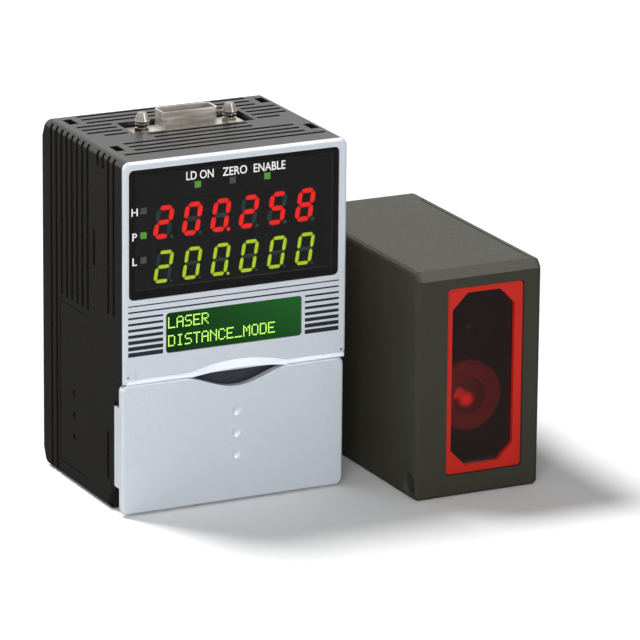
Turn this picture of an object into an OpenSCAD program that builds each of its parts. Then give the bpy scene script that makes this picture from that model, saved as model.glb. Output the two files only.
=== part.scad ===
// Laser displacement sensor: display controller and measuring head, standing side by side as one set.
// Millimetres, +Z up, fronts face -Y. Origin: bottom centre of the set's bounding box.

/* [Set] */
// Gap between the controller and the head
set_gap = 10.4; // [4:0.1:60]
// How far the head stands in front of the controller
head_lead = 18.5; // [0:0.5:40]

/* [Controller case] */
// Controller width
ctl_w = 60.2; // [58:0.1:72]
// Controller height
ctl_h = 90; // [88:0.5:110]
// Controller depth, bezel face to back face
ctl_d = 48.7; // [46.5:0.1:60]
// Case wall
wall = 2; // [1.6:0.1:2.4]
// Radius of the case's long edges
edge_r = 1.8; // [0.8:0.1:2.4]
// Thickness of the rear cover
rear_t = 2.4; // [2.2:0.1:3]
// Depth of the sloped edges of the rear cover
rear_bevel_d = 2.1; // [1:0.1:2.1]
// Height of the sloped edges of the rear cover
rear_bevel_h = 4.5; // [2:0.1:6]
// Assembly gap between neighbouring pieces
fit_gap = 0.2; // [0.1:0.05:0.3]
// Gap around pieces that move
move_gap = 0.3; // [0.25:0.05:0.4]

/* [Case ribs and vents] */
// Last vent row, in front of the rear cover
vent_end = 1; // [0.8:0.1:1.4]
// Width of a side groove
groove_w = 1.2; // [0.8:0.1:1.5]
// Depth of a side groove
groove_d = 0.7; // [0.4:0.05:0.9]
// Last side groove, in front of the rear cover
groove_end = 2.95; // [2.5:0.05:3.2]
// Side grooves in the rear group
groove_count = 8; // [5:1:8]
// Grooves of the rear group that run down to the base
groove_long = 2; // [1:1:2]
// Height where the short grooves end
groove_z = 47.6; // [47.2:0.1:60]
// First of the short front grooves, from the front
front_groove_y = 5.9; // [5.6:0.1:6.4]
// Number of front grooves
front_groove_count = 4; // [2:1:4]
// Lower end of the two foremost grooves, below the top
front_groove_h = 40; // [10:1:44]
// Length of the top notches of the other front grooves
notch_h = 4.2; // [3:0.1:8]
// First vent row, from the front
vent_y = 7.5; // [7:0.1:8]
// Width of a vent slot
vent_w = 1.25; // [0.7:0.05:1.3]
// Half length of the long vent rows
vent_half = 23; // [20:0.5:23.5]
// Half length of the foremost vent row
vent_front_half = 27; // [20:0.5:27]
// Half length of the rows in front of the connector
vent_mid_half = 13.2; // [8:0.2:16]
// Inner end of the rows beside the connector
vent_side_in = 17.6; // [17.2:0.1:19]
// Outer end of the rows beside the connector
vent_side_out = 27; // [22:0.5:27.2]
// Width of a snap window in the top
snap_w = 2.3; // [1.6:0.1:2.5]
// Length of a snap window in the top
snap_l = 4.8; // [3:0.1:5]
// Half spacing of the snap windows
snap_x = 26.2; // [25.6:0.1:26.4]
// Front pair of snap windows, from the front
snap_front_y = 13.7; // [13:0.1:15]
// Rear pair of snap windows, in front of the rear cover
snap_in = 4.6; // [4:0.1:6]
// Finger slot in the side, from the front
side_slot_y = 9.4; // [8:0.1:11]
// Length of the finger slot
side_slot_h = 12; // [6:0.5:14]
// Middle height of the finger slot
side_slot_z = 14; // [12:0.5:18]
// Short groove in the side, from the front
mark_y = 17.5; // [17:0.1:18]
// Lower end of the short groove
mark_z = 60; // [56:0.5:64]
// Length of the short groove
mark_h = 9; // [4:0.5:12]

/* [Link ports] */
// Front edge of a port cover, before the first side groove
port_lead = 0.2; // [0.1:0.1:1]
// Gap between a port cover and the long grooves
port_gap = 1.1; // [0.8:0.1:2]
// Lower edge of a port cover
port_z = 4; // [3:0.1:6]
// Height of a port cover
port_h = 42; // [34:0.5:43]
// Thickness of a port cover
port_t = 0.8; // [0.6:0.05:0.9]
// Width of a link socket
link_l = 9; // [6:0.5:10]
// Height of a link socket
link_h = 22; // [12:0.5:24]
// Middle height of a link socket
link_z = 24; // [20:0.5:26]
// Depth of a link socket into the case
link_d = 6; // [4:0.5:7]

/* [Front bezel] */
// Thickness of the bezel plate
bezel_t = 2.4; // [2.2:0.1:2.8]
// Rounding of the bezel's front edge
bezel_edge = 0.7; // [0.3:0.1:0.7]
// Thickness of the bezel's rim in front of the case
bezel_rim = 0.9; // [0.8:0.05:1.2]
// Case lip behind that rim
bezel_lip = 0.8; // [0.8:0.1:1.3]
// Length of the skirt that plugs into the case
skirt_l = 7; // [6.6:0.1:8]
// Thickness of the skirt
skirt_t = 1.3; // [1:0.1:1.5]
// Height of the lip along the bezel's lower edge
lip_h = 0.9; // [0.4:0.1:1]
// How far the lip stands forward
lip_d = 0.6; // [0.2:0.05:0.7]
// Half width of the eyelid over the finger notch
lid_half = 16.2; // [8:0.2:18]
// Height of the eyelid
lid_h = 3; // [1.5:0.1:3.2]
// Rise of the eyelid's arched lower edge
arch_h = 1.1; // [0.4:0.1:1.4]
// Half width of that arch
arch_half = 12.5; // [8:0.1:14]
// How far the eyelid stands forward
lid_d = 1.3; // [0.8:0.1:1.8]
// Side of the square corner tabs
tab_side = 3.3; // [2:0.1:4]
// Width of the line around a corner tab
tab_line = 0.25; // [0.15:0.05:0.4]
// Radius of the pin hole in a corner tab
tab_pin = 0.35; // [0.2:0.05:0.5]
// Pin hole from the side of the bezel
tab_pin_in = 1.15; // [0.9:0.05:1.6]
// Depth of engraved lines
engrave_d = 0.2; // [0.1:0.05:0.4]
// Rows of printed stripes
stripe_count = 9; // [5:1:9]
// Rows that run the whole width
stripe_long = 2; // [1:1:2]
// Pitch of the stripes
stripe_pitch = 1.53; // [1.3:0.01:1.55]
// Thickness of the top stripe
stripe_t = 0.3; // [0.2:0.05:0.4]
// Growth of the thickness from row to row
stripe_step = 0.1; // [0:0.01:0.1]
// Margin beside the stripes
stripe_side = 1.6; // [1.5:0.1:4]
// Inner end of the short stripes
stripe_in = 19.2; // [19.1:0.1:24]
// Gap between the window and the top stripe
stripe_drop = 1.55; // [1:0.05:1.6]

/* [Display window] */
// Margin beside the window
window_side = 1.9; // [1.8:0.05:3]
// Sideways place of the readouts and stripes
face_x = -0.4; // [-0.5:0.05:0.5]
// Window height
window_h = 32.4; // [31:0.1:33]
// Window corner radius
window_r = 1.3; // [0.5:0.1:2]
// Margin above the window
window_top = 2.1; // [1.8:0.1:2.4]
// Window thickness
window_t = 1.3; // [1:0.1:1.4]
// How deep the window face lies
window_set = 0.15; // [0.05:0.05:0.3]
// Left margin of the readout module in the window
module_left = 6.7; // [6.4:0.1:7]
// Height of the readout module
module_h = 21.4; // [21:0.1:22]
// Right margin of the readout module in the window
module_right = 4.3; // [4:0.1:5]
// Top of the module below the top of the window
module_drop = 8.9; // [8.6:0.1:9]
// Gap between window and module face
module_gap = 0.35; // [0.3:0.05:0.6]
// Height of a red digit, segment centre to centre
red_h = 7.1; // [6:0.1:7.4]
// Height of a green digit, segment centre to centre
green_h = 7.2; // [6:0.1:7.4]
// Width of a digit, segment centre to centre
digit_w = 3.5; // [3:0.1:3.8]
// Slant of the digits in degrees
digit_slant = 9.5; // [0:0.5:12]
// Pitch of the digits
digit_pitch = 7.62; // [7.4:0.01:7.7]
// Width of a red segment
red_seg = 1.15; // [0.8:0.05:1.2]
// Width of a green segment
green_seg = 0.85; // [0.7:0.05:1.1]
// Gap at the ends of a segment
seg_gap = 0.2; // [0.08:0.02:0.3]
// How far segments stand out of the module face
seg_rise = 0.12; // [0.05:0.01:0.2]
// Middle of the red row below the module top
red_drop = 5.1; // [4.8:0.1:5.6]
// Middle of the green row above the module foot
green_lift = 5.1; // [4.8:0.1:5.6]
// Shift of the digits against the module
digit_shift = -0.6; // [-0.8:0.05:-0.2]
// Side of a lamp
lamp_side = 1.6; // [1.2:0.1:2]
// Thickness of the mask around the lamps
mask_t = 1.2; // [0.8:0.1:2]
// Spacing of the lamps over the readout
lamp_pitch = 9.35; // [8:0.05:9.6]
// Lamp row below the top of the window
lamp_drop = 5.6; // [4.8:0.1:5.7]
// Lamps beside the readout, from the window side
lamp_side_in = 4.4; // [3.9:0.1:4.5]
// Spacing of the lamps beside the readout
lamp_rise = 6.2; // [4:0.1:6.4]
// Top lamp beside the readout, below the window top
lamp_side_drop = 10.6; // [10:0.1:12]

/* [Character display] */
// Character display width
lcd_w = 36.6; // [30:0.1:37]
// Character display height
lcd_h = 10; // [9:0.1:10]
// Gap between the window and the character display
lcd_drop = 4.4; // [4:0.1:4.6]
// Corner radius of the character display
lcd_r = 0.9; // [0.4:0.1:1.5]
// How deep the character display lies
lcd_set = 0.3; // [0.1:0.05:0.5]

/* [Key flap] */
// Height of the flap's top edge
flap_top = 33.8; // [33:0.1:34.4]
// Height of the flap's foot
flap_z = 0.5; // [0.4:0.1:1]
// Gap between flap and bezel
flap_gap = 0.35; // [0.3:0.05:0.5]
// Flap thickness
flap_t = 1.8; // [1.6:0.1:2]
// How far the flap lies behind the bezel face
flap_set = 1; // [0.8:0.1:1.2]
// Rounding of the flap's front edge
flap_edge = 0.6; // [0.2:0.1:0.8]
// Corner radius of the flap
flap_r = 1.8; // [0.9:0.1:2]
// Half width of the finger notch
notch_half = 16; // [8:0.2:18]
// Depth of the finger notch
notch_d = 3.8; // [2:0.1:4.2]
// Radius of a grip dimple at the face
dimple_r = 1.2; // [0.6:0.1:1.6]
// Depth of a grip dimple
dimple_d = 0.6; // [0.3:0.05:0.8]
// Spacing of the grip dimples
dimple_pitch = 5.6; // [4:0.1:6]
// Middle height of the grip dimples
dimple_z = 18; // [14:0.1:20]
// Sideways place of the flap's grip
grip_x = 0.8; // [-3:0.1:3]
// Thickness of a flap wing
wing_t = 0.9; // [0.7:0.05:1]
// Reach of a flap wing along the case side
wing_d = 2.8; // [1.2:0.1:3]
// Lower end of a flap wing
wing_z = 7; // [7:0.1:9]
// Upper end of a flap wing
wing_top = 27.5; // [20:0.5:28]
// Hinge pin radius
pin_r = 1; // [0.8:0.05:1.1]
// Running clearance of the hinge pin
pin_fit = 0.05; // [0.02:0.01:0.09]
// Wall around the hinge pin
ear_wall = 0.75; // [0.7:0.05:0.8]
// Hinge axis behind the bezel face
hinge_y = 4.85; // [4.8:0.05:5]
// Hinge axis above the base
hinge_z = 4.2; // [4.2:0.05:4.4]
// Thickness of a hinge lug and of a hinge ear
lug_t = 1.7; // [1.4:0.1:2]
// Depth of the pocket that the flap's foot swings into
pocket_d = 8.9; // [8.8:0.1:9.2]
// Height of that pocket
pocket_h = 6.8; // [6.6:0.1:6.9]

/* [Keys] */
// Space between flap and key panel
key_space = 1.4; // [1.3:0.1:1.6]
// Key panel thickness
panel_t = 2; // [1.6:0.1:2.2]
// Key width
key_w = 6.4; // [5:0.1:6.6]
// Key height
key_h = 4.2; // [3.4:0.1:4.3]
// Key corner radius
key_r = 0.8; // [0.3:0.1:1.2]
// How far keys stand out of the panel
key_rise = 0.9; // [0.7:0.1:1]
// Key travel
key_travel = 0.5; // [0.3:0.05:0.5]
// Rim that holds a key behind the panel
key_rim = 0.7; // [0.4:0.1:0.8]
// Thickness of that rim
key_rim_t = 0.8; // [0.6:0.1:0.9]
// Sideways place of the left and right keys
key_dx = 8.8; // [8.6:0.1:10]
// Row pitch of the keys
key_dz = 5.3; // [5:0.1:5.5]
// Middle row of the keys
key_z = 21.9; // [21.8:0.1:22.2]
// Sideways place of the outer keys and slide switches
key_far_x = 20; // [19:0.1:20.5]
// Slide switch row
switch_z = 26.6; // [26:0.1:27]
// Slide switch knob width
knob_w = 3; // [2.4:0.1:3.4]
// Slide switch knob height
knob_h = 2.4; // [2:0.1:2.6]
// Step between two switch places
knob_step = 2.2; // [1.5:0.1:2.4]
// Service socket width
usb_w = 7.7; // [7:0.1:8.5]
// Service socket height
usb_h = 3.9; // [3.4:0.1:4.1]
// Service socket shell
usb_wall = 0.4; // [0.3:0.05:0.6]
// Middle height of the service socket
usb_z = 11.4; // [11.2:0.1:11.6]

/* [Top connector] */
// Sideways place of the vents and the connector
top_x = 0.6; // [-0.6:0.1:0.6]
// Half length of the opening in the top
con_half = 16.4; // [16:0.1:16.6]
// Gap between the vent row in front and the opening
con_gap = 1.65; // [1.2:0.05:2]
// Gap between the opening and the vent row behind
con_rest = 3; // [1.4:0.1:3]
// Flange width
flange_w = 30.6; // [29:0.1:31]
// Flange depth
flange_d = 8.8; // [8:0.1:9.4]
// Flange thickness
flange_t = 0.8; // [0.6:0.05:1]
// Flange below the top face
flange_drop = 1.2; // [0.9:0.1:1.5]
// Shell width
shell_w = 15; // [12:0.1:17]
// Shell depth
shell_d = 5.7; // [4.4:0.1:6]
// Shell corner radius
shell_r = 1.2; // [0.8:0.1:1.6]
// Shell wall
shell_t = 0.45; // [0.3:0.05:0.6]
// Shell height over the top face
shell_h = 3.6; // [3:0.1:8]
// Spacing of the lock posts
post_pitch = 23.8; // [22:0.1:25]
// Largest radius of a lock post head
post_r = 2; // [1.6:0.05:2.2]
// Radius of a lock post neck
post_neck = 1.2; // [0.9:0.05:1.4]
// Height of a lock post over the flange
post_h = 4.75; // [4:0.05:8]
// Depth of the connector block below the flange
block_h = 8; // [5:0.5:10]
// Width of the connector block
block_w = 21; // [18:0.5:22]

/* [Rail foot] */
// Rail height that the foot takes
rail_h = 35; // [35:0.1:35.4]
// Thickness of the rail flange
rail_t = 1; // [1:0.1:1.2]
// Clearance around the rail
rail_gap = 0.35; // [0.2:0.05:0.5]
// Rail middle above the base
rail_z = 45; // [44:0.5:48]
// Overlap of hooks behind the rail
hook_lap = 2.5; // [1.5:0.1:3]
// Thickness of the hooks
hook_t = 2.3; // [1.8:0.1:2.6]
// Hook height
hook_h = 4; // [3:0.1:5]
// Hook width
hook_w = 10; // [6:0.5:12]
// Middle of a hook from the centre
hook_x = 15; // [14:0.5:18]
// Latch width
latch_w = 12; // [10:0.5:13]
// Latch thickness
latch_t = 2.1; // [1.8:0.1:2.2]
// Foot of the latch above the base
latch_z = 4.6; // [4.4:0.1:5]
// Latch travel
latch_travel = 3.5; // [2.5:0.1:3.8]
// Length of the latch guides
guide_l = 13.5; // [10:0.5:14]
// Thickness of the guide walls
guide_t = 1.8; // [1.4:0.1:2.2]
// How far the guides reach over the latch
guide_lap = 1.2; // [0.8:0.1:1.5]

/* [Screws] */
// Screw shank radius
screw_r = 1.05; // [0.9:0.05:1.15]
// Screw hole clearance
screw_fit = 0.05; // [0.03:0.01:0.15]
// Screw head radius
screw_head_r = 2.1; // [1.8:0.1:2.3]
// Screw head height
screw_head_h = 1.3; // [1:0.1:1.4]
// Screw length below the head
screw_l = 6; // [4:0.5:6.2]
// Screw inset from the outer faces of the case
screw_in = 6.2; // [6:0.1:6.8]
// Radius of a screw column in the case
column_r = 2.8; // [2.4:0.1:3.2]

/* [Inside the controller] */
// Circuit board thickness
board_t = 1.6; // [1.2:0.1:1.6]
// Display board behind the bezel face
display_board_y = 7.4; // [7.2:0.1:7.6]
// Key board behind the bezel face
key_board_y = 9; // [8.9:0.1:9.2]
// Power board behind the bezel face
power_board_y = 18.6; // [16:0.1:20]
// Main board in front of the controller's back
main_board_in = 10.9; // [10.6:0.1:11.2]
// Processor width and height
chip_w = 14; // [8:0.5:18]
// Processor thickness
chip_t = 1.5; // [1:0.1:2.5]
// Transformer width and depth
coil_w = 13; // [8:0.5:14]
// Transformer height
coil_h = 9; // [6:0.5:10]
// Capacitor radius
cap_r = 4; // [2.5:0.1:4.2]
// Gap between capacitors and main board
cap_clear = 4.4; // [3:0.1:8]
// Capacitor pitch
cap_pitch = 10.5; // [9:0.1:11]

/* [Base of the controller] */
// Head socket width
socket_w = 17; // [14:0.5:18]
// Head socket depth
socket_d = 11; // [9:0.5:11.5]
// Head socket height
socket_h = 11; // [9:0.5:14]
// Head socket wall
socket_t = 1.5; // [1.2:0.1:2]
// Sideways place of the head socket
socket_x = -11; // [-13:0.5:-8]
// Recess of the base inlets above the base plane
inlet_z = 0.4; // [0.2:0.1:0.6]
// Cable bush radius
bush_r = 5; // [4.5:0.1:6]
// Cable bush bore radius
bush_bore = 2.6; // [1.5:0.1:3.2]
// Cable bush length
bush_h = 8; // [5:0.5:9]
// Sideways place of the cable bush
bush_x = 13; // [11:0.5:15]
// Cable bush in front of the main board
bush_in = 7.6; // [7:0.1:9]

/* [Measuring head] */
// Head width
head_w = 34.4; // [33.5:0.1:40]
// Head depth
head_d = 68.5; // [67:0.5:80]
// Head height
head_h = 58.6; // [57:0.1:66]
// Head wall
head_wall = 2.4; // [2:0.1:2.6]
// Head front wall
head_front = 4.2; // [4:0.1:4.6]
// Radius of the head's edges
head_r = 1.1; // [0.5:0.1:1.6]
// Bevel along the head's top front edge
head_bevel = 2.2; // [1:0.1:2.6]
// Side cover thickness
side_t = 2; // [1.6:0.1:2.4]
// Side cover behind the head's face
cover_lead = 3; // [2:0.1:3.4]
// Side seal thickness
seal_t = 0.3; // [0.3:0.05:0.6]
// Side seal width
seal_w = 1.6; // [1.2:0.1:1.8]
// Mounting hole radius
mount_r = 2.25; // [1.6:0.05:2.3]
// Mounting hole distance from both edges
mount_in = 3.7; // [3.7:0.1:4]
// Countersink around a mounting hole
mount_sink = 0.8; // [0.4:0.1:0.9]
// Side of the corner blocks around the mounting holes
mount_block = 7.4; // [7.2:0.1:8]
// Side screw shank radius
side_screw_r = 0.95; // [0.8:0.05:1]
// Side screw head radius
side_head_r = 1.8; // [1.5:0.1:1.9]
// Side screw head height
side_head_h = 1; // [0.8:0.1:1.1]
// Side screw length below the head
side_screw_l = 6; // [4:0.5:8]
// Side screw inset from the outer faces
side_screw_in = 4.6; // [4.4:0.1:4.8]
// Front side screws behind the head's face
side_screw_y = 21; // [20:0.5:26]
// Radius of a side screw column
side_column = 2.6; // [2.2:0.1:2.8]

/* [Head window and optics] */
// Window frame width
frame_w = 20.8; // [20:0.1:21.4]
// Edge under the window frame
frame_low = 5.85; // [5.3:0.05:7]
// Window frame thickness
frame_t = 1.1; // [1:0.1:1.2]
// Window frame corner radius
frame_r = 1; // [0.4:0.1:1.6]
// How deep the frame lies
frame_set = 0.4; // [0.2:0.05:0.5]
// Sideways place of the window
frame_x = 1.8; // [1.6:0.1:2.6]
// Edge over the window frame
frame_high = 4.95; // [4:0.05:6]
// Frame width beside the octagon opening, on average
frame_side_t = 1.75; // [1.6:0.05:3]
// Frame height above and below the octagon opening, on average
frame_end_t = 1.65; // [1.6:0.05:3]
// Sideways place of the octagon in its frame
octagon_x = -0.5; // [-0.5:0.05:0.5]
// Upward place of the octagon in its frame
octagon_up = 0.3; // [-0.5:0.05:0.5]
// Corner cut of the octagon opening
octagon_cut = 4.1; // [2:0.1:5]
// Protective glass thickness
pane_t = 1.2; // [1:0.1:1.3]
// Overlap of the glass behind the frame
pane_lap = 0.9; // [0.8:0.1:1.2]
// Depth of the dark tunnel behind the glass
tunnel_d = 6.2; // [5:0.1:10]
// Tunnel wall
tunnel_wall = 1.4; // [1:0.1:1.6]
// Tunnel back wall
tunnel_back = 3; // [2:0.1:4]
// Receiver lens above the foot of the window frame
lens_lift = 16.9; // [16:0.05:18]
// Receiver barrel flange radius
barrel_r = 8.9; // [8:0.1:9]
// Receiver barrel flange thickness
barrel_t = 2.6; // [1.8:0.1:3]
// Receiver barrel body radius
barrel_body = 6.8; // [6:0.1:7]
// Receiver barrel body length behind the tunnel
barrel_l = 10; // [6:0.5:12]
// Receiver lens radius
lens_r = 4.7; // [4:0.1:5]
// Receiver lens edge thickness
lens_edge = 0.9; // [0.6:0.1:1.2]
// Bulge of a receiver lens face
lens_bulge = 1.1; // [0.6:0.1:1.3]
// Laser axis below the top of the window frame
laser_drop = 13.6; // [9:0.1:14]
// Laser barrel radius
laser_r = 3.3; // [2.8:0.1:3.4]
// Laser barrel flange radius
laser_flange = 4.6; // [4:0.1:4.8]
// Laser barrel length
laser_l = 13; // [10:0.5:15]
// Laser lens radius
laser_lens_r = 1.8; // [1.2:0.1:2]
// Laser diode radius
diode_r = 2.8; // [2.2:0.1:3]
// Laser diode length
diode_l = 3.2; // [2:0.1:4]
// Sensor board behind the head's face
sensor_board_y = 46; // [42:0.5:48]
// Head board behind the head's face
head_board_y = 55; // [53:0.5:56]
// Image sensor side
sensor_side = 9; // [6:0.5:12]
// Image sensor thickness
sensor_t = 2; // [1.2:0.1:2.5]
// Gland radius
gland_r = 4.4; // [3.6:0.1:5]
// Gland collar radius
gland_collar = 5.8; // [5.4:0.1:6.4]
// Gland collar length behind the head
gland_l = 3.2; // [2:0.1:3.6]
// Gland bore radius
gland_bore = 2.4; // [1.5:0.1:2.8]
// Gland middle height
gland_z = 13; // [11:0.5:20]

/* [Hidden] */
$fn = 48;
// One sample of cutter overshoot, so that cuts leave no skin
cut = 1;
// Derived places of the set
foot_d = rail_t + rail_gap + hook_t;
set_w = ctl_w + set_gap + head_w;
set_back = max(ctl_d + foot_d, head_d - head_lead + gland_l);
set_mid = (set_back - head_lead) / 2;
ctl_x = -set_w / 2 + ctl_w / 2;
head_x = set_w / 2 - head_w / 2;
ctl_y = -set_mid;
head_y = -set_mid - head_lead;
// Derived places of the controller
half_w = ctl_w / 2;
in_half = half_w - wall;
in_top = ctl_h - wall;
case_end = ctl_d - rear_t;
vent_rows = 12;
rib_pitch = (case_end - vent_y - vent_end) / vent_rows;
groove_y = case_end - groove_end - (groove_count - 1) * rib_pitch;
snap_rear_y = case_end - snap_in;
port_y = groove_y - port_lead;
port_l = groove_y + (groove_count - groove_long) * rib_pitch - groove_w / 2 - port_gap - port_y;
con_y = vent_y + 5 * rib_pitch + con_gap;
con_d = 5 * rib_pitch - con_gap - con_rest;
main_board_y = ctl_d - main_board_in;
bush_y = main_board_y - bush_in;
bezel_z = flap_top + flap_gap;
bezel_h = ctl_h - bezel_z;
arch_r = (arch_half * arch_half + arch_h * arch_h) / (2 * arch_h);
stripe_half = half_w - stripe_side;
window_w = ctl_w - 2 * window_side;
window_z = ctl_h - window_top - window_h;
window_mid = window_z + window_h / 2;
window_back = window_set + window_t;
lcd_z = window_z - lcd_drop - lcd_h / 2;
lcd_box = [lcd_w, lcd_h];
skirt_half = in_half - fit_gap;
skirt_z = bezel_z + fit_gap;
skirt_top = in_top - fit_gap;
module_top = window_z + window_h - module_drop;
module_w = window_w - module_left - module_right;
module_x = face_x + (module_left - module_right) / 2;
module_y = window_back + module_gap;
red_z = module_top - red_drop;
green_z = module_top - module_h + green_lift;
digit_x = module_x + digit_shift - digit_pitch * 2.5;
lamp_top_z = window_z + window_h - lamp_drop;
lamp_left_x = face_x - window_w / 2 + lamp_side_in;
lamp_left_z = window_z + window_h - lamp_side_drop;
flap_back = flap_set + flap_t;
panel_y = flap_back + key_space;
panel_back = panel_y + panel_t;
panel_z = pocket_h + 2 * fit_gap + fit_gap;
panel_half = in_half - fit_gap;
panel_top = flap_top - fit_gap;
lug_out = in_half - move_gap;
lug_in = lug_out - lug_t;
ear_out = lug_in - move_gap;
ear_in = ear_out - lug_t;
ear_r = pin_r + pin_fit + ear_wall;
rim_y = panel_back + move_gap;
key_end = rim_y + key_rim_t;
key_places = [
    [0, key_dz], [0, -key_dz], [-key_dx, 0], [key_dx, 0], [-key_far_x, -key_dz], [key_far_x, -key_dz]
];
con_mid = con_y + con_d / 2;
flange_z = ctl_h - flange_drop - flange_t;
rail_low = rail_z - rail_h / 2 - rail_gap;
rail_high = rail_z + rail_h / 2 + rail_gap;
rail_back = ctl_d + rail_t + rail_gap;
latch_y = ctl_d + move_gap;
board_half = in_half - fit_gap;
power_back = power_board_y + board_t;
cap_h = main_board_y - power_back - cap_clear;
main_back = main_board_y + board_t;
// Derived places of the head
head_half = head_w / 2;
seal_x = head_half - side_t - seal_t;
side_x = head_half - side_t;
head_in = -head_half + head_wall;
frame_h = head_h - frame_low - frame_high;
frame_z = frame_low + frame_h / 2;
lens_z = frame_low + lens_lift;
laser_z = frame_low + frame_h - laser_drop;
octagon_w = frame_w - 2 * frame_side_t;
octagon_h = frame_h - 2 * frame_end_t;
open_x = frame_x + octagon_x;
open_z = frame_z + octagon_up;
pane_w = octagon_w + 2 * pane_lap;
pane_h = octagon_h + 2 * pane_lap;
pane_y = frame_set + frame_t;
tunnel_y = head_front + fit_gap;
tunnel_end = tunnel_y + tunnel_d;
lens_seat = tunnel_end - barrel_t + lens_bulge;
mount_points = [[mount_in, mount_in], [head_d - mount_in, head_h - mount_in]];
side_points = [
    [head_d - side_screw_in, side_screw_in],
    [side_screw_y, head_h - side_screw_in],
    [head_d - mount_block - side_screw_in, head_h - side_screw_in],
    [side_screw_y, side_screw_in]
];
// Segments lit for each digit, lettered clockwise from the top one, with the middle one last
digit_bars = ["abcdef", "bc", "abged", "abgcd", "fgbc", "afgcd", "afgedc", "abc", "abcdefg", "abcdfg"];
// Plain sample readings, with the point after the third digit
red_reading = [2, 0, 0, 2, 5, 8];
green_reading = [2, 0, 0, 0, 0, 0];
point_place = 2;

// Shapes that several sub-parts share

// Rectangle with true arcs at its corners, centred
module round_rect(w, h, r) {
    square([w - 2 * r, h], center = true);
    square([w, h - 2 * r], center = true);
    for (sx = [-1, 1], sy = [-1, 1])
        translate([sx * (w / 2 - r), sy * (h / 2 - r)]) circle(r);
}

// Shape drawn in x and z, from y0 to y1
module along_y(y0, y1) {
    translate([0, y1, 0]) rotate([90, 0, 0]) linear_extrude(y1 - y0) children();
}

// Shape drawn in y and z, from x0 to x1
module along_x(x0, x1) {
    translate([x0, 0, 0]) rotate([90, 0, 90]) linear_extrude(x1 - x0) children();
}

// Box between two corners
module box(a, b) {
    translate(a) cube(b - a);
}

// Round bar along y
module bar_y(x, z, r, y0, y1) {
    translate([x, y1, z]) rotate([90, 0, 0]) cylinder(r = r, h = y1 - y0);
}

// Round bar along x
module bar_x(y, z, r, x0, x1) {
    translate([x0, y, z]) rotate([0, 90, 0]) cylinder(r = r, h = x1 - x0);
}

// Children and their mirror image across the middle plane
module both_sides() {
    children();
    mirror([1, 0, 0]) children();
}

module on_controller() {
    translate([ctl_x, ctl_y, 0]) children();
}

module on_head() {
    translate([head_x, head_y, 0]) children();
}

// Plate in x and z with a rounded front edge, thickness from y0 to y1
module soft_plate(w, h, r, edge, y0, y1) {
    hull() for (a = [0, 30, 60, 90])
        along_y(y0 + edge * (1 - sin(90 - a)), y1)
            round_rect(w - 2 * edge * (1 - sin(a)), h - 2 * edge * (1 - sin(a)), r);
}

// Controller case

module side_grooves() {
    for (i = [0 : groove_count - 1])
        box([half_w - groove_d, groove_y + i * rib_pitch - groove_w / 2,
                i >= groove_count - groove_long ? -cut : groove_z],
            [half_w + cut, groove_y + i * rib_pitch + groove_w / 2, ctl_h + cut]);
    for (i = [0 : front_groove_count - 1])
        box([half_w - groove_d, front_groove_y + i * rib_pitch - groove_w / 2,
                ctl_h - (i < 2 ? front_groove_h : notch_h)],
            [half_w + cut, front_groove_y + i * rib_pitch + groove_w / 2, ctl_h + cut]);
}

module vent(row, x0, x1) {
    box([x0, vent_y + row * rib_pitch - vent_w / 2, in_top - cut],
        [x1, vent_y + row * rib_pitch + vent_w / 2, ctl_h + cut]);
}

module top_vents() {
    vent(0, -vent_front_half, vent_front_half);
    for (row = [1, 2, 3, 10, 11, 12])
        vent(row, -vent_half, vent_half);
    for (row = [4, 5])
        vent(row, -vent_mid_half, vent_mid_half);
    both_sides() {
        vent(6, vent_side_in, vent_side_out - rib_pitch);
        for (row = [7, 8, 9])
            vent(row, vent_side_in, vent_side_out);
        for (y = [snap_front_y, snap_rear_y])
            box([snap_x - snap_w / 2, y - snap_l / 2, in_top - cut],
                [snap_x + snap_w / 2, y + snap_l / 2, ctl_h + cut]);
    }
    box([-con_half, con_y, in_top - cut], [con_half, con_y + con_d, ctl_h + cut]);
}

module side_openings() {
    side_grooves();
    box([half_w - port_t - fit_gap / 2, port_y, port_z], [half_w + cut, port_y + port_l, port_z + port_h]);
    box([in_half - cut, main_board_y - link_l - 2 * fit_gap, link_z - link_h / 2 - fit_gap],
        [half_w, main_board_y, link_z + link_h / 2 + fit_gap]);
    box([half_w - groove_d, side_slot_y - groove_w / 2, side_slot_z - side_slot_h / 2],
        [half_w + cut, side_slot_y + groove_w / 2, side_slot_z + side_slot_h / 2]);
    box([half_w - groove_d, mark_y - groove_w / 2, mark_z],
        [half_w + cut, mark_y + groove_w / 2, mark_z + mark_h]);
    box([half_w - wing_t - move_gap, 0, pocket_h - cut],
        [half_w + cut, flap_back + wing_d + move_gap, wing_top + rib_pitch / 2]);
}

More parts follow.
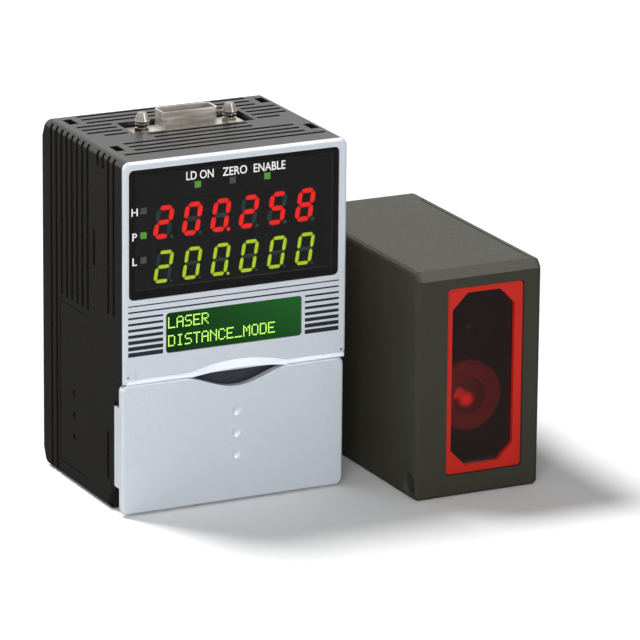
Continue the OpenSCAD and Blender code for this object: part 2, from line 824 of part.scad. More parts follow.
module main_case() {
    color("#262523") on_controller() difference() {
        union() {
            along_y(bezel_t, case_end) translate([0, ctl_h / 2]) difference() {
                round_rect(ctl_w, ctl_h, edge_r);
                square([2 * in_half, ctl_h - 2 * wall], center = true);
            }
            along_y(bezel_rim, bezel_t + cut / 2) translate([0, ctl_h / 2]) difference() {
                round_rect(ctl_w, ctl_h, edge_r);
                square([ctl_w - 2 * bezel_lip, ctl_h - 2 * bezel_lip], center = true);
            }
            box([-in_half - fit_gap, pocket_d, wall / 2],
                [in_half + fit_gap, pocket_d + wall, pocket_h + fit_gap]);
            for (sx = [-1, 1], z = [screw_in, ctl_h - screw_in])
                bar_y(sx * (half_w - screw_in), z, column_r, main_back + fit_gap, case_end);
            both_sides() for (z = [screw_in, ctl_h - screw_in])
                box([half_w - screw_in, main_back + fit_gap, z - column_r / 2],
                    [half_w - wall / 2, case_end, z + column_r / 2]);
        }
        box([-ctl_w, bezel_rim - cut, -cut], [ctl_w, flap_back + move_gap, bezel_z]);
        box([-ctl_w, 0, -cut], [ctl_w, pocket_d, pocket_h]);
        both_sides() side_openings();
        translate([top_x, 0, 0]) top_vents();
        for (sx = [-1, 1], z = [screw_in, ctl_h - screw_in])
            bar_y(sx * (half_w - screw_in), z, screw_r + screw_fit, main_back, case_end + cut);
        box([socket_x - socket_w / 2 - fit_gap, main_board_y - socket_d - fit_gap, -cut],
            [socket_x + socket_w / 2 + fit_gap, main_board_y + fit_gap, wall + cut]);
        translate([bush_x, bush_y, -cut]) cylinder(r = bush_r + fit_gap, h = wall + 2 * cut);
    }
}

module rear_cover() {
    color("#242322") on_controller() difference() {
        union() {
            along_y(case_end, ctl_d) translate([0, ctl_h / 2]) round_rect(ctl_w, ctl_h, edge_r);
            for (sx = [-1, 1])
                along_x(sx * hook_x - hook_w / 2, sx * hook_x + hook_w / 2)
                    polygon([[ctl_d - wall, rail_high], [rail_back, rail_high],
                        [rail_back, rail_high - hook_lap], [rail_back + hook_t, rail_high - hook_lap / 2],
                        [rail_back + hook_t, rail_high + hook_h / 2], [rail_back, rail_high + hook_h],
                        [ctl_d - wall, rail_high + hook_h]]);
            both_sides() {
                box([latch_w / 2 + move_gap, ctl_d - wall / 2, latch_z + fit_gap],
                    [latch_w / 2 + move_gap + guide_t, latch_y + latch_t + move_gap, latch_z + guide_l]);
                box([latch_w / 2 - guide_lap, latch_y + latch_t + move_gap, latch_z + fit_gap],
                    [latch_w / 2 + move_gap + guide_t, rail_back + hook_t, latch_z + guide_l]);
            }
        }
        for (z = [0, ctl_h])
            along_x(-ctl_w, ctl_w) polygon([[ctl_d - rear_bevel_d, z], [ctl_d + cut, z],
                [ctl_d + cut, abs(z - rear_bevel_h * (1 + cut / rear_bevel_d))],
                [ctl_d, abs(z - rear_bevel_h)]]);
        for (sx = [-1, 1], z = [screw_in, ctl_h - screw_in]) {
            bar_y(sx * (half_w - screw_in), z, screw_r + screw_fit, case_end - cut, ctl_d + cut);
            bar_y(sx * (half_w - screw_in), z, screw_head_r + fit_gap, ctl_d - screw_head_h, ctl_d + cut);
        }
    }
}

module rear_screws() {
    color("#8d9096") on_controller() for (sx = [-1, 1], z = [screw_in, ctl_h - screw_in])
        difference() {
            union() {
                bar_y(sx * (half_w - screw_in), z, screw_head_r, ctl_d - screw_head_h, ctl_d);
                bar_y(sx * (half_w - screw_in), z, screw_r,
                    ctl_d - screw_head_h - screw_l, ctl_d - screw_head_h);
            }
            for (a = [0, 90])
                translate([sx * (half_w - screw_in), ctl_d, z]) rotate([0, a, 0])
                    cube([screw_head_r * 1.2, screw_head_h, screw_r / 2], center = true);
        }
}

module din_latch() {
    color("#3a3a3c") on_controller() difference() {
        along_x(-latch_w / 2, latch_w / 2)
            polygon([[latch_y, latch_z], [latch_y + latch_t, latch_z],
                [latch_y + latch_t, rail_low - hook_h], [rail_back + hook_t, rail_low - hook_h / 2],
                [rail_back + hook_t, rail_low + hook_lap / 2], [rail_back, rail_low + hook_lap],
                [rail_back, rail_low], [latch_y, rail_low]]);
        box([-latch_w / 4, latch_y - cut, latch_z + latch_t],
            [latch_w / 4, latch_y + latch_t + cut, latch_z + 2 * latch_t]);
    }
}

module port_cover() {
    difference() {
        box([half_w - port_t - fit_gap / 2, port_y + fit_gap, port_z + fit_gap],
            [half_w - fit_gap / 2, port_y + port_l - fit_gap, port_z + port_h - fit_gap]);
        for (i = [-1, 0, 1])
            translate([half_w - fit_gap / 2, port_y + port_l / 2, dimple_z + i * dimple_pitch])
                bar_x(0, 0, dimple_r * 0.8, -port_t / 2, cut);
    }
}

module port_cover_left() {
    color("#2b2a28") on_controller() mirror([1, 0, 0]) port_cover();
}

module port_cover_right() {
    color("#2b2a28") on_controller() port_cover();
}

module link_socket() {
    mid = main_board_y - link_l / 2;
    difference() {
        box([half_w - wall - link_d, main_board_y - link_l, link_z - link_h / 2],
            [half_w - port_t - 2 * fit_gap, main_board_y, link_z + link_h / 2]);
        for (i = [-1, 1])
            box([half_w - wall - link_d / 2, mid + i * link_l / 5 - link_l / 12, link_z - link_h * 0.4],
                [half_w, mid + i * link_l / 5 + link_l / 12, link_z + link_h * 0.4]);
    }
}

module link_socket_left() {
    color("#d8d4c4") on_controller() mirror([1, 0, 0]) link_socket();
}

module link_socket_right() {
    color("#d8d4c4") on_controller() link_socket();
}

// Front bezel and readouts

// One row of stripes, from y0 to the floor of the engraving
module stripe(row, y0) {
    z = window_z - stripe_drop - row * stripe_pitch;
    t = stripe_t + row * stripe_step;
    translate([face_x, 0, 0]) if (row < stripe_long)
        box([-stripe_half, y0, z - t / 2], [stripe_half, engrave_d, z + t / 2]);
    else
        both_sides() box([stripe_in, y0, z - t / 2], [stripe_half, engrave_d, z + t / 2]);
}

module eyelid() {
    lid_r = lid_half * lid_half / (2 * lid_d);
    intersection() {
        translate([0, lid_r - lid_d, bezel_z])
            cylinder(r1 = lid_r, r2 = lid_r - lid_d, h = lid_h, $fn = 160);
        box([-ctl_w, -lid_d - cut, bezel_z], [ctl_w, bezel_t / 2, bezel_z + lid_h]);
    }
}

module front_bezel() {
    color("#c3c8cf") on_controller() difference() {
        union() {
            translate([0, 0, bezel_z + bezel_h / 2])
                soft_plate(ctl_w, bezel_h, edge_r, bezel_edge, 0, bezel_rim);
            box([-half_w, bezel_edge, bezel_z], [half_w, bezel_rim, bezel_z + edge_r]);
            box([-half_w + bezel_lip + fit_gap, bezel_edge, bezel_z],
                [half_w - bezel_lip - fit_gap, bezel_t, ctl_h - bezel_lip - fit_gap]);
            along_x(-half_w + bezel_edge, half_w - bezel_edge)
                polygon([[bezel_edge, bezel_z], [-lip_d / 2, bezel_z], [-lip_d, bezel_z + lip_h / 3],
                    [-lip_d / 2, bezel_z + lip_h], [bezel_edge, bezel_z + lip_h + lip_d]]);
            translate([grip_x, 0, 0]) eyelid();
            along_y(bezel_t - cut / 2, bezel_t + skirt_l)
                translate([0, (skirt_z + skirt_top) / 2]) difference() {
                square([2 * skirt_half, skirt_top - skirt_z], center = true);
                square([2 * (skirt_half - skirt_t), skirt_top - skirt_z - 2 * skirt_t], center = true);
            }
        }
        along_y(-cut, window_back) translate([face_x, window_mid])
            round_rect(window_w + fit_gap, window_h + fit_gap, window_r);
        box([-skirt_half + skirt_t, -cut, window_z + wall],
            [skirt_half - skirt_t, bezel_t + cut, skirt_top - skirt_t]);
        along_y(-lid_d - cut, bezel_t / 2) translate([grip_x, bezel_z + arch_h - arch_r])
            circle(arch_r, $fn = 160);
        along_y(-cut, bezel_t + cut) translate([face_x, lcd_z])
            round_rect(lcd_w + fit_gap, lcd_h + fit_gap, lcd_r);
        for (row = [0 : stripe_count - 1])
            stripe(row, -cut);
        both_sides() {
            box([half_w - tab_side, -cut, bezel_z + lip_h + lip_d],
                [half_w - tab_side + tab_line, engrave_d, bezel_z + tab_side]);
            box([half_w - tab_side, -cut, bezel_z + tab_side - tab_line],
                [half_w + cut, engrave_d, bezel_z + tab_side]);
            bar_y(half_w - tab_pin_in, bezel_z + lip_h + lip_d + tab_pin, tab_pin, -cut, bezel_rim);
        }
    }
}

module bezel_stripes() {
    color("#23252c") on_controller() for (row = [0 : stripe_count - 1])
        stripe(row, 0);
}

module display_window() {
    color("#231f20") on_controller() along_y(window_set, window_back)
        translate([face_x, window_mid])
        round_rect(window_w, window_h, window_r);
}

module display_module() {
    color("#2a2b2d") on_controller()
        box([module_x - module_w / 2, module_y, module_top - module_h],
            [module_x + module_w / 2, display_board_y, module_top]);
}

// Black mask that keeps the light of each lamp to its own hole
module display_mask() {
    lamps = [
        for (i = [-1, 0, 1]) [face_x + i * lamp_pitch, lamp_top_z],
        for (i = [0, 1, 2]) [lamp_left_x, lamp_left_z - i * lamp_rise]
    ];
    color("#1c1c1d") on_controller() along_y(module_y, module_y + mask_t) difference() {
        translate([-skirt_half + skirt_t, window_z + wall])
            square([2 * (skirt_half - skirt_t), skirt_top - skirt_t - window_z - wall]);
        translate([module_x, module_top - module_h / 2])
            square([module_w + fit_gap, module_h + fit_gap], center = true);
        for (p = lamps) translate(p) square(lamp_side + fit_gap / 2, center = true);
    }
}

// Slant of a point of a digit
function lean(p) = [p[0] + p[1] * tan(digit_slant), p[1]];

// Six corners of a lying segment
function lying(v, a, t) = [
    for (p = [[-1, 0], [-1, 1], [1, 1], [1, 0], [1, -1], [-1, -1]])
        lean([p[0] * (a - seg_gap - abs(p[1]) * t / 2), v + p[1] * t / 2])
];

// Six corners of an upright segment
function upright(u, v, b, t) = [
    for (p = [[0, -1], [1, -1], [1, 1], [0, 1], [-1, 1], [-1, -1]])
        lean([u + p[0] * t / 2, v + p[1] * (b - seg_gap - abs(p[0]) * t / 2)])
];

function bar_points(bar, a, b, t) =
    bar == "a" ? lying(2 * b, a, t) :
    bar == "g" ? lying(0, a, t) :
    bar == "d" ? lying(-2 * b, a, t) :
    bar == "b" ? upright(a, b, b, t) :
    bar == "c" ? upright(a, -b, b, t) :
    bar == "e" ? upright(-a, -b, b, t) : upright(-a, b, b, t);

// Segments of one row of digits, either those lit or those dark
module digit_row(reading, z, h, t, lit) {
    along_y(module_y - seg_rise, module_y) for (i = [0 : len(reading) - 1]) {
        translate([digit_x + i * digit_pitch, z]) {
            for (bar = "abcdefg")
                if ((len(search(bar, digit_bars[reading[i]])) > 0) == lit)
                    polygon(bar_points(bar, digit_w / 2, h / 4, t));
            if ((i == point_place) == lit)
                translate([digit_w / 2 + t * 0.3, -h / 2 - t / 5]) circle(t * 0.42, $fn = 24);
        }
    }
}

module red_segments() {
    color("#f0302a") on_controller() digit_row(red_reading, red_z, red_h, red_seg, true);
}

module green_segments() {
    color("#b4dc3c") on_controller() digit_row(green_reading, green_z, green_h, green_seg, true);
}

module unlit_segments() {
    color("#1f3434") on_controller() {
        digit_row(red_reading, red_z, red_h, red_seg, false);
        digit_row(green_reading, green_z, green_h, green_seg, false);
    }
}

module lamp(x, z) {
    box([x - lamp_side / 2, module_y, z - lamp_side / 2],
        [x + lamp_side / 2, display_board_y, z + lamp_side / 2]);
}

module lit_lamps() {
    color("#5aa03c") on_controller() {
        lamp(face_x - lamp_pitch, lamp_top_z);
        lamp(face_x + lamp_pitch, lamp_top_z);
        lamp(lamp_left_x, lamp_left_z - lamp_rise);
    }
}

module unlit_lamps() {
    color("#6a6a6e") on_controller() {
        lamp(face_x, lamp_top_z);
        lamp(lamp_left_x, lamp_left_z);
        lamp(lamp_left_x, lamp_left_z - 2 * lamp_rise);
    }
}

module lcd_module() {
    color("#1e5a22") on_controller() along_y(lcd_set, display_board_y) translate([face_x, lcd_z])
        round_rect(lcd_w, lcd_h, lcd_r);
}

module display_board() {
    color("#1f6b45") on_controller()
        box([-skirt_half + skirt_t + fit_gap, display_board_y, skirt_z + skirt_t + fit_gap],
            [skirt_half - skirt_t - fit_gap, display_board_y + board_t, skirt_top - skirt_t - fit_gap]);
}

// Key flap and what it covers

// Smooth bell that the finger takes out of the flap's top edge
module finger_notch() {
    steps = 36;
    polygon(concat(
        [[notch_half, cut], [-notch_half, cut]],
        [for (i = [0 : steps])
            let (u = -1 + 2 * i / steps)
            [u * notch_half, -notch_d * (1 + cos(180 * u)) / 2]]
    ));
}

module key_flap() {
    dimple_ball = (dimple_r * dimple_r + dimple_d * dimple_d) / (2 * dimple_d);
    color("#c6cbd2") on_controller() difference() {
        union() {
            translate([0, 0, (flap_z + flap_top) / 2])
                soft_plate(ctl_w, flap_top - flap_z, flap_r, flap_edge, flap_set, flap_back);
            both_sides() {
                box([half_w - wing_t, flap_back - flap_t / 2, wing_z],
                    [half_w, flap_back + wing_d, wing_top]);
                along_x(lug_in, lug_out) {
                    translate([hinge_y, hinge_z]) circle(ear_r);
                    translate([flap_back - flap_t / 2, hinge_z - ear_r])
                        square([hinge_y - flap_back + flap_t / 2, 2 * ear_r]);
                }
                bar_x(hinge_y, hinge_z, pin_r, ear_in + move_gap, lug_in + lug_t / 2);
            }
        }
        along_y(flap_set - cut, flap_back + cut) translate([grip_x, flap_top]) finger_notch();
        for (i = [-1, 0, 1])
            translate([grip_x, flap_set + dimple_d - dimple_ball, dimple_z + i * dimple_pitch])
                sphere(dimple_ball);
    }
}

// Hole in the key panel for something of a given size
module panel_hole(x, z, w, h, r) {
    along_y(panel_y - cut, panel_back + cut) translate([x, z]) round_rect(w, h, r);
}

module key_panel() {
    slot_w = knob_w + 2 * knob_step + 2 * move_gap;
    color("#34353a") on_controller() difference() {
        union() {
            box([-panel_half, panel_y, panel_z], [panel_half, panel_back, panel_top]);
            box([-panel_half, panel_y, panel_z], [panel_half, pocket_d + wall, panel_z + panel_t / 2]);
            both_sides() along_x(ear_in, ear_out) {
                translate([hinge_y, hinge_z]) circle(ear_r);
                translate([hinge_y - ear_r, hinge_z]) square([2 * ear_r, panel_z + panel_t / 2 - hinge_z]);
            }
        }
        both_sides() bar_x(hinge_y, hinge_z, pin_r + pin_fit, ear_in - cut, ear_out + cut);
        for (p = key_places)
            panel_hole(p[0], key_z + p[1], key_w + 2 * move_gap, key_h + 2 * move_gap, key_r);
        for (sx = [-1, 1])
            panel_hole(sx * key_far_x, switch_z, slot_w, knob_h + 2 * move_gap, key_r / 2);
        panel_hole(0, usb_z, usb_w + 2 * fit_gap, usb_h + 2 * fit_gap, key_r / 2);
    }
}

// Push key with the rim that holds it behind the panel
module push_key(x, z) {
    color("#9a9fa6") on_controller() translate([x, 0, z]) {
        along_y(panel_y - key_rise, rim_y) round_rect(key_w, key_h, key_r);
        along_y(rim_y, key_end) round_rect(key_w + 2 * key_rim, key_h + 2 * key_rim, key_r);
    }
}

module key_up() {
    push_key(0, key_z + key_dz);
}

module key_down() {
    push_key(0, key_z - key_dz);
}

module key_left() {
    push_key(-key_dx, key_z);
}

module key_right() {
    push_key(key_dx, key_z);
}

module key_set() {
    push_key(key_far_x, key_z - key_dz);
}

module key_escape() {
    push_key(-key_far_x, key_z - key_dz);
}

// Slide switch knob with the plate that holds it behind the panel
module switch_knob(x) {
    color("#e4e4e0") on_controller() translate([x, 0, switch_z]) {
        along_y(panel_y - key_rise, rim_y) difference() {
            square([knob_w, knob_h], center = true);
            for (i = [-1, 0, 1])
                translate([i * knob_w / 4, knob_h / 2]) square([knob_w / 10, knob_h / 5], center = true);
        }
        along_y(rim_y, key_end) square([knob_w + 2 * key_rim, knob_h + 2 * key_rim], center = true);
    }
}

module mode_switch() {
    switch_knob(-key_far_x);
}

module range_switch() {
    switch_knob(key_far_x - knob_step);
}

module key_board() {
    color("#1f6b45") on_controller()
        box([-board_half, key_board_y, panel_z + panel_t / 2 + fit_gap],
            [board_half, key_board_y + board_t, panel_top]);
}

module key_contacts() {
    color("#5b5c60") on_controller() for (p = key_places)
        box([p[0] - key_h / 2, key_end + key_travel + fit_gap, key_z + p[1] - key_h / 2],
            [p[0] + key_h / 2, key_board_y, key_z + p[1] + key_h / 2]);
}

module service_socket() {
    color("#b9bcc0") on_controller() difference() {
        along_y(panel_y - fit_gap, key_board_y) translate([0, usb_z]) round_rect(usb_w, usb_h, key_r);
        along_y(panel_y - cut, key_board_y - usb_wall) translate([0, usb_z]) difference() {
            round_rect(usb_w - 2 * usb_wall, usb_h - 2 * usb_wall, key_r - usb_wall / 2);
            square([usb_w * 0.6, usb_h * 0.25], center = true);
        }
    }
}

// Shielded connector on top

module connector_shell() {
    color("#c9ccd0") on_controller() translate([top_x, con_mid, 0]) difference() {
        union() {
            translate([0, 0, flange_z]) linear_extrude(flange_t) round_rect(flange_w, flange_d, shell_r);
            translate([0, 0, flange_z]) linear_extrude(ctl_h + shell_h - flange_z)
                round_rect(shell_w, shell_d, shell_r);
        }
        translate([0, 0, flange_z - cut]) linear_extrude(shell_h + flange_drop + flange_t + 2 * cut)
            round_rect(shell_w - 2 * shell_t, shell_d - 2 * shell_t, shell_r - shell_t);
        for (sx = [-1, 1])
            translate([sx * post_pitch / 2, 0, flange_z - cut])
                cylinder(r = post_neck + fit_gap / 2, h = flange_t + 2 * cut);
    }
}

module connector_block() {
    color("#1d1d1e") on_controller() translate([top_x, 0, 0]) difference() {
        union() {
            box([-block_w / 2, con_mid - flange_d / 2, flange_z - block_h],
                [block_w / 2, main_board_y, flange_z]);
            translate([0, con_mid, flange_z - cut]) linear_extrude(ctl_h + shell_h / 2 - flange_z + cut)
                round_rect(shell_w - 2 * shell_t - fit_gap, shell_d - 2 * shell_t - fit_gap,
                    shell_r - shell_t);
        }
        translate([0, con_mid, ctl_h]) linear_extrude(shell_h)
            square([shell_w * 0.75, shell_d * 0.25], center = true);
    }
}

module lock_posts() {
    color("#c4c6c9") on_controller() for (sx = [-1, 1])
        translate([top_x + sx * post_pitch / 2, con_mid, flange_z + flange_t]) {
            translate([0, 0, -flange_t]) cylinder(r = post_neck, h = flange_t + post_h * 0.65);
            cylinder(r = post_r, h = post_h * 0.2, $fn = 6);
            translate([0, 0, post_h * 0.3]) cylinder(r = post_r * 0.88, h = post_h * 0.1);
            translate([0, 0, post_h * 0.5]) cylinder(r = post_r, h = post_h * 0.08);
            translate([0, 0, post_h * 0.58]) cylinder(r1 = post_r, r2 = post_r * 0.55, h = post_h * 0.42);
        }
}

// Rail latch is above; boards and inlets follow

module main_board() {
    color("#1f6b45") on_controller()
        box([-board_half, main_board_y, wall + fit_gap], [board_half, main_back, in_top - fit_gap]);
}

module processor() {
    color("#1a1a1c") on_controller() translate([0, main_board_y - chip_t / 2, ctl_h * 0.62])
        cube([chip_w, chip_t, chip_w], center = true);
}

module power_board() {
    color("#1f6b45") on_controller()
        box([-board_half, power_board_y, pocket_h + 2 * wall],
            [board_half, power_back, flange_z - block_h - wall]);
}

module power_coil() {
    color("#3b3a36") on_controller() translate([0, power_back, ctl_h * 0.6]) {
        box([-coil_w / 2, 0, -coil_w / 2], [coil_w / 2, coil_h * 0.25, coil_w / 2]);
        bar_y(0, 0, coil_w * 0.4, coil_h * 0.25, coil_h * 0.8);
        box([-coil_w / 2, coil_h * 0.8, -coil_w / 2], [coil_w / 2, coil_h, coil_w / 2]);
    }
}

module capacitors() {
    color("#2c3a5e") on_controller() for (i = [-1, 0, 1])
        bar_y(i * cap_pitch, ctl_h * 0.3, cap_r, power_back, power_back + cap_h);
}

module head_socket() {
    color("#1d1d1e") on_controller() difference() {
        box([socket_x - socket_w / 2, main_board_y - socket_d, inlet_z],
            [socket_x + socket_w / 2, main_board_y, inlet_z + socket_h]);
        box([socket_x - socket_w / 2 + socket_t, main_board_y - socket_d + socket_t, inlet_z - cut],
            [socket_x + socket_w / 2 - socket_t, main_board_y - socket_t, inlet_z + socket_h - socket_t]);
    }
}

module cable_bush() {
    color("#2f2f31") on_controller() translate([bush_x, bush_y, inlet_z]) difference() {
        union() {
            cylinder(r = bush_r, h = wall - inlet_z + fit_gap);
            translate([0, 0, wall - inlet_z + fit_gap]) cylinder(r = bush_r + wall / 2, h = bush_h - wall);
        }
        translate([0, 0, -cut]) cylinder(r = bush_bore, h = bush_h - wall + cut);
    }
}

// Measuring head

// Side outline of the head, drawn in y and z, drawn in by some amount
module head_outline(inset) {
    difference() {
        translate([head_d / 2, head_h / 2])
            round_rect(head_d - 2 * inset, head_h - 2 * inset, head_r);
        polygon([[-cut, head_h + cut], [-cut, head_h - head_bevel - inset - cut],
            [head_bevel + inset * 0.4 + cut, head_h + cut]]);
    }
}

// Corner square around a mounting hole, drawn in y and z
module mount_corners(grow) {
    translate([-cut, -cut]) square(mount_block + grow + cut);
    translate([head_d - mount_block - grow, head_h - mount_block - grow]) square(mount_block + grow + cut);
}

// Whole outside of the head with softened edges
module head_solid() {
    hull() for (a = [0, 40, 90])
        along_x(-head_half + head_r * (1 - sin(90 - a)), head_half - head_r * (1 - sin(90 - a)))
            head_outline(head_r * (1 - sin(a)));
}

// All of the head's side view behind some y, larger than the head
module head_field(y0) {
    translate([y0, -head_h / 2]) square([2 * head_d, 2 * head_h]);
}

module head_housing() {
    color("#35342d") on_head() difference() {
        head_solid();
        along_x(seal_x, head_half + cut) difference() {
            head_field(cover_lead);
            mount_corners(0);
        }
        along_x(head_in, seal_x + cut) difference() {
            translate([head_front, head_wall])
                square([head_d - head_front - head_wall, head_h - 2 * head_wall]);
            mount_corners(0);
            for (p = side_points) translate(p) circle(side_column);
        }
        along_y(-cut, pane_y) translate([frame_x, frame_z])
            round_rect(frame_w + 2 * fit_gap, frame_h + 2 * fit_gap, frame_r);
        along_y(0, pane_y + pane_t) translate([open_x, open_z])
            round_rect(pane_w + 2 * fit_gap, pane_h + 2 * fit_gap, frame_r);
        along_y(0, head_front + cut) translate([open_x, open_z])
            square([octagon_w + fit_gap, octagon_h + fit_gap], center = true);
        for (p = mount_points) {
            bar_x(p[0], p[1], mount_r, -head_w, head_w);
            translate([-head_half - cut / 10, p[0], p[1]]) rotate([0, 90, 0])
                cylinder(r1 = mount_r + mount_sink + cut / 10, r2 = mount_r, h = mount_sink + cut / 10);
        }
        for (p = side_points)
            bar_x(p[0], p[1], side_screw_r + screw_fit, seal_x - side_screw_l, seal_x + cut);
        bar_y(0, gland_z, gland_r + fit_gap / 2, head_d - 2 * head_wall, head_d + cut);
    }
}

module head_side_cover() {
    color("#35342d") on_head() difference() {
        intersection() {
            head_solid();
            along_x(side_x, head_half + cut) head_field(cover_lead + fit_gap);
        }
        along_x(side_x - cut, head_half + cut) mount_corners(2 * fit_gap);
        for (p = side_points) {
            bar_x(p[0], p[1], side_screw_r + screw_fit, side_x - cut, head_half + cut);
            bar_x(p[0], p[1], side_head_r + fit_gap / 2, head_half - side_head_h, head_half + cut);
        }
    }
}

module side_seal() {
    lead = cover_lead + fit_gap;
    color("#1b1b1b") on_head() along_x(seal_x, side_x) difference() {
        translate([lead, head_r / 2]) square([head_d - head_r / 2 - lead, head_h - head_r]);
        difference() {
            translate([lead + seal_w, head_r + seal_w])
                square([head_d - head_r - 2 * seal_w - lead, head_h - 2 * head_r - 2 * seal_w]);
            mount_corners(2 * fit_gap + seal_w);
        }
        mount_corners(2 * fit_gap);
        for (p = side_points) translate(p) circle(side_screw_r + fit_gap);
    }
}

module side_screws() {
    color("#7b7d82") on_head() for (p = side_points) difference() {
        union() {
            bar_x(p[0], p[1], side_head_r, head_half - side_head_h, head_half);
            bar_x(p[0], p[1], side_screw_r, seal_x - side_screw_l + fit_gap, head_half - side_head_h);
        }
        bar_x(p[0], p[1], side_screw_r * 0.8, head_half - side_head_h * 0.6, head_half + cut, $fn = 6);
    }
}

// Octagon with equal corner cuts, drawn in x and z
module octagon(w, h, c) {
    polygon([[-w / 2 + c, -h / 2], [w / 2 - c, -h / 2], [w / 2, -h / 2 + c], [w / 2, h / 2 - c],
        [w / 2 - c, h / 2], [-w / 2 + c, h / 2], [-w / 2, h / 2 - c], [-w / 2, -h / 2 + c]]);
}

module window_frame() {
    color("#c4261e") on_head() along_y(frame_set, pane_y) translate([frame_x, frame_z]) difference() {
        round_rect(frame_w, frame_h, frame_r);
        translate([octagon_x, octagon_up]) octagon(octagon_w, octagon_h, octagon_cut);
    }
}

module window_pane() {
    color("#7a2222") on_head() along_y(pane_y, pane_y + pane_t) translate([open_x, open_z])
        round_rect(pane_w, pane_h, frame_r);
}

module optics_base() {
    tunnel_w = 2 * barrel_r + 2 * fit_gap;
    color("#1c1c1d") on_head() difference() {
        along_y(tunnel_y, tunnel_end + tunnel_back) translate([frame_x, open_z])
            square([tunnel_w + 2 * tunnel_wall, octagon_h + 2 * tunnel_wall], center = true);
        along_y(tunnel_y - cut, tunnel_end) translate([frame_x, open_z])
            square([tunnel_w, octagon_h], center = true);
        along_x(-head_w, head_w) mount_corners(fit_gap);
        bar_y(frame_x, lens_z, barrel_body + fit_gap / 2, tunnel_end - cut, tunnel_end + tunnel_back + cut);
        bar_y(frame_x, laser_z, laser_r + fit_gap / 2, tunnel_end - cut, tunnel_end + tunnel_back + cut);
    }
}

// Turned part around an axis along y, outline drawn as radius and y
module turned(x, z) {
    translate([x, 0, z]) rotate([-90, 0, 0]) rotate_extrude($fn = 64) children();
}

module receiver_barrel() {
    front = tunnel_end - barrel_t;
    back = tunnel_end + tunnel_back + barrel_l;
    seat = lens_seat + lens_edge / 2;
    color("#8a8a8e") on_head() turned(frame_x, lens_z)
        polygon([[lens_r + fit_gap / 2, front], [barrel_r - barrel_t / 3, front],
            [barrel_r, front + barrel_t / 3], [barrel_r, tunnel_end], [barrel_body, tunnel_end],
            [barrel_body, back], [lens_r, back], [lens_r, seat + lens_edge],
            [lens_r * 0.8, seat + lens_edge], [lens_r * 0.8, seat + fit_gap / 2],
            [lens_r + fit_gap / 2, seat + fit_gap / 2]]);
}

module receiver_lens() {
    ball = (lens_r * lens_r + lens_bulge * lens_bulge) / (2 * lens_bulge);
    color("#d8b0b0") on_head() translate([frame_x, lens_seat, lens_z]) intersection() {
        bar_y(0, 0, lens_r, -lens_edge / 2 - lens_bulge, lens_edge / 2);
        translate([0, ball - lens_bulge - lens_edge / 2, 0]) sphere(ball, $fn = 96);
    }
}

module laser_barrel() {
    front = tunnel_end - barrel_t;
    color("#77777b") on_head() turned(frame_x, laser_z)
        polygon([[laser_lens_r + fit_gap / 2, front], [laser_flange, front], [laser_flange, tunnel_end],
            [laser_r, tunnel_end], [laser_r, front + laser_l], [laser_lens_r * 0.7, front + laser_l],
            [laser_lens_r * 0.7, front + barrel_t], [laser_lens_r + fit_gap / 2, front + barrel_t]]);
}

module laser_lens() {
    ball = laser_lens_r * 1.6;
    front = tunnel_end - barrel_t;
    color("#d8b0b0") on_head() translate([frame_x, front, laser_z]) intersection() {
        bar_y(0, 0, laser_lens_r, 0, barrel_t);
        translate([0, ball + barrel_t * 0.1, 0]) sphere(ball);
    }
}

module laser_diode() {
    back = tunnel_end - barrel_t + laser_l;
    color("#b08d3c") on_head() bar_y(frame_x, laser_z, diode_r, back, back + diode_l);
}

module image_sensor() {
    color("#2a2a2e") on_head()
        box([frame_x - sensor_side / 2, sensor_board_y - sensor_t, lens_z - sensor_side / 2],
            [frame_x + sensor_side / 2, sensor_board_y, lens_z + sensor_side / 2]);
}

// Board that spans the head between its left wall and its side cover
module cross_board(y) {
    color("#1f6b45") on_head()
        box([head_in + fit_gap, y, head_wall + fit_gap],
            [seal_x, y + board_t, head_h - mount_block - 2 * fit_gap]);
}

module sensor_board() {
    cross_board(sensor_board_y);
}

module head_board() {
    cross_board(head_board_y);
}

module head_gland() {
    color("#2f2f31") on_head() difference() {
        union() {
            bar_y(0, gland_z, gland_r, head_d - 2 * head_wall, head_d);
            bar_y(0, gland_z, gland_collar, head_d, head_d + gland_l);
        }
        bar_y(0, gland_z, gland_bore, head_d - head_wall, head_d + gland_l + cut);
    }
}

// What is drawn

main_case();
rear_cover();
rear_screws();
din_latch();
port_cover_left();
port_cover_right();
link_socket_left();
link_socket_right();
front_bezel();
bezel_stripes();
display_window();
display_mask();
display_module();
red_segments();
green_segments();
unlit_segments();
lit_lamps();
unlit_lamps();
lcd_module();
display_board();
key_flap();
key_panel();
key_up();
key_down();
key_left();
key_right();
key_set();
key_escape();
mode_switch();
range_switch();
key_board();
key_contacts();
service_socket();
connector_shell();
connector_block();
lock_posts();
main_board();
processor();
power_board();
power_coil();
capacitors();
head_socket();
cable_bush();
head_housing();
head_side_cover();
side_seal();
side_screws();
window_frame();
window_pane();
optics_base();
receiver_barrel();
receiver_lens();
laser_barrel();
laser_lens();
laser_diode();
image_sensor();
sensor_board();
head_board();
head_gland();
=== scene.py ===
"""Looks of a laser displacement sensor: a display controller and its measuring head.

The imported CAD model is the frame. This script gives every CAD node its real material and adds what CAD leaves
out: printed words, display characters, key legends and contacts. Lengths are in millimetres until they reach a
mesh, and in the frame's axes: +X from the controller to the head, +Y from the fronts to the backs, +Z up.
"""

from __future__ import annotations

import logging
import math
from dataclasses import dataclass, field, replace
from enum import Enum

import bpy
import numpy as np
from mathutils import Matrix, Vector

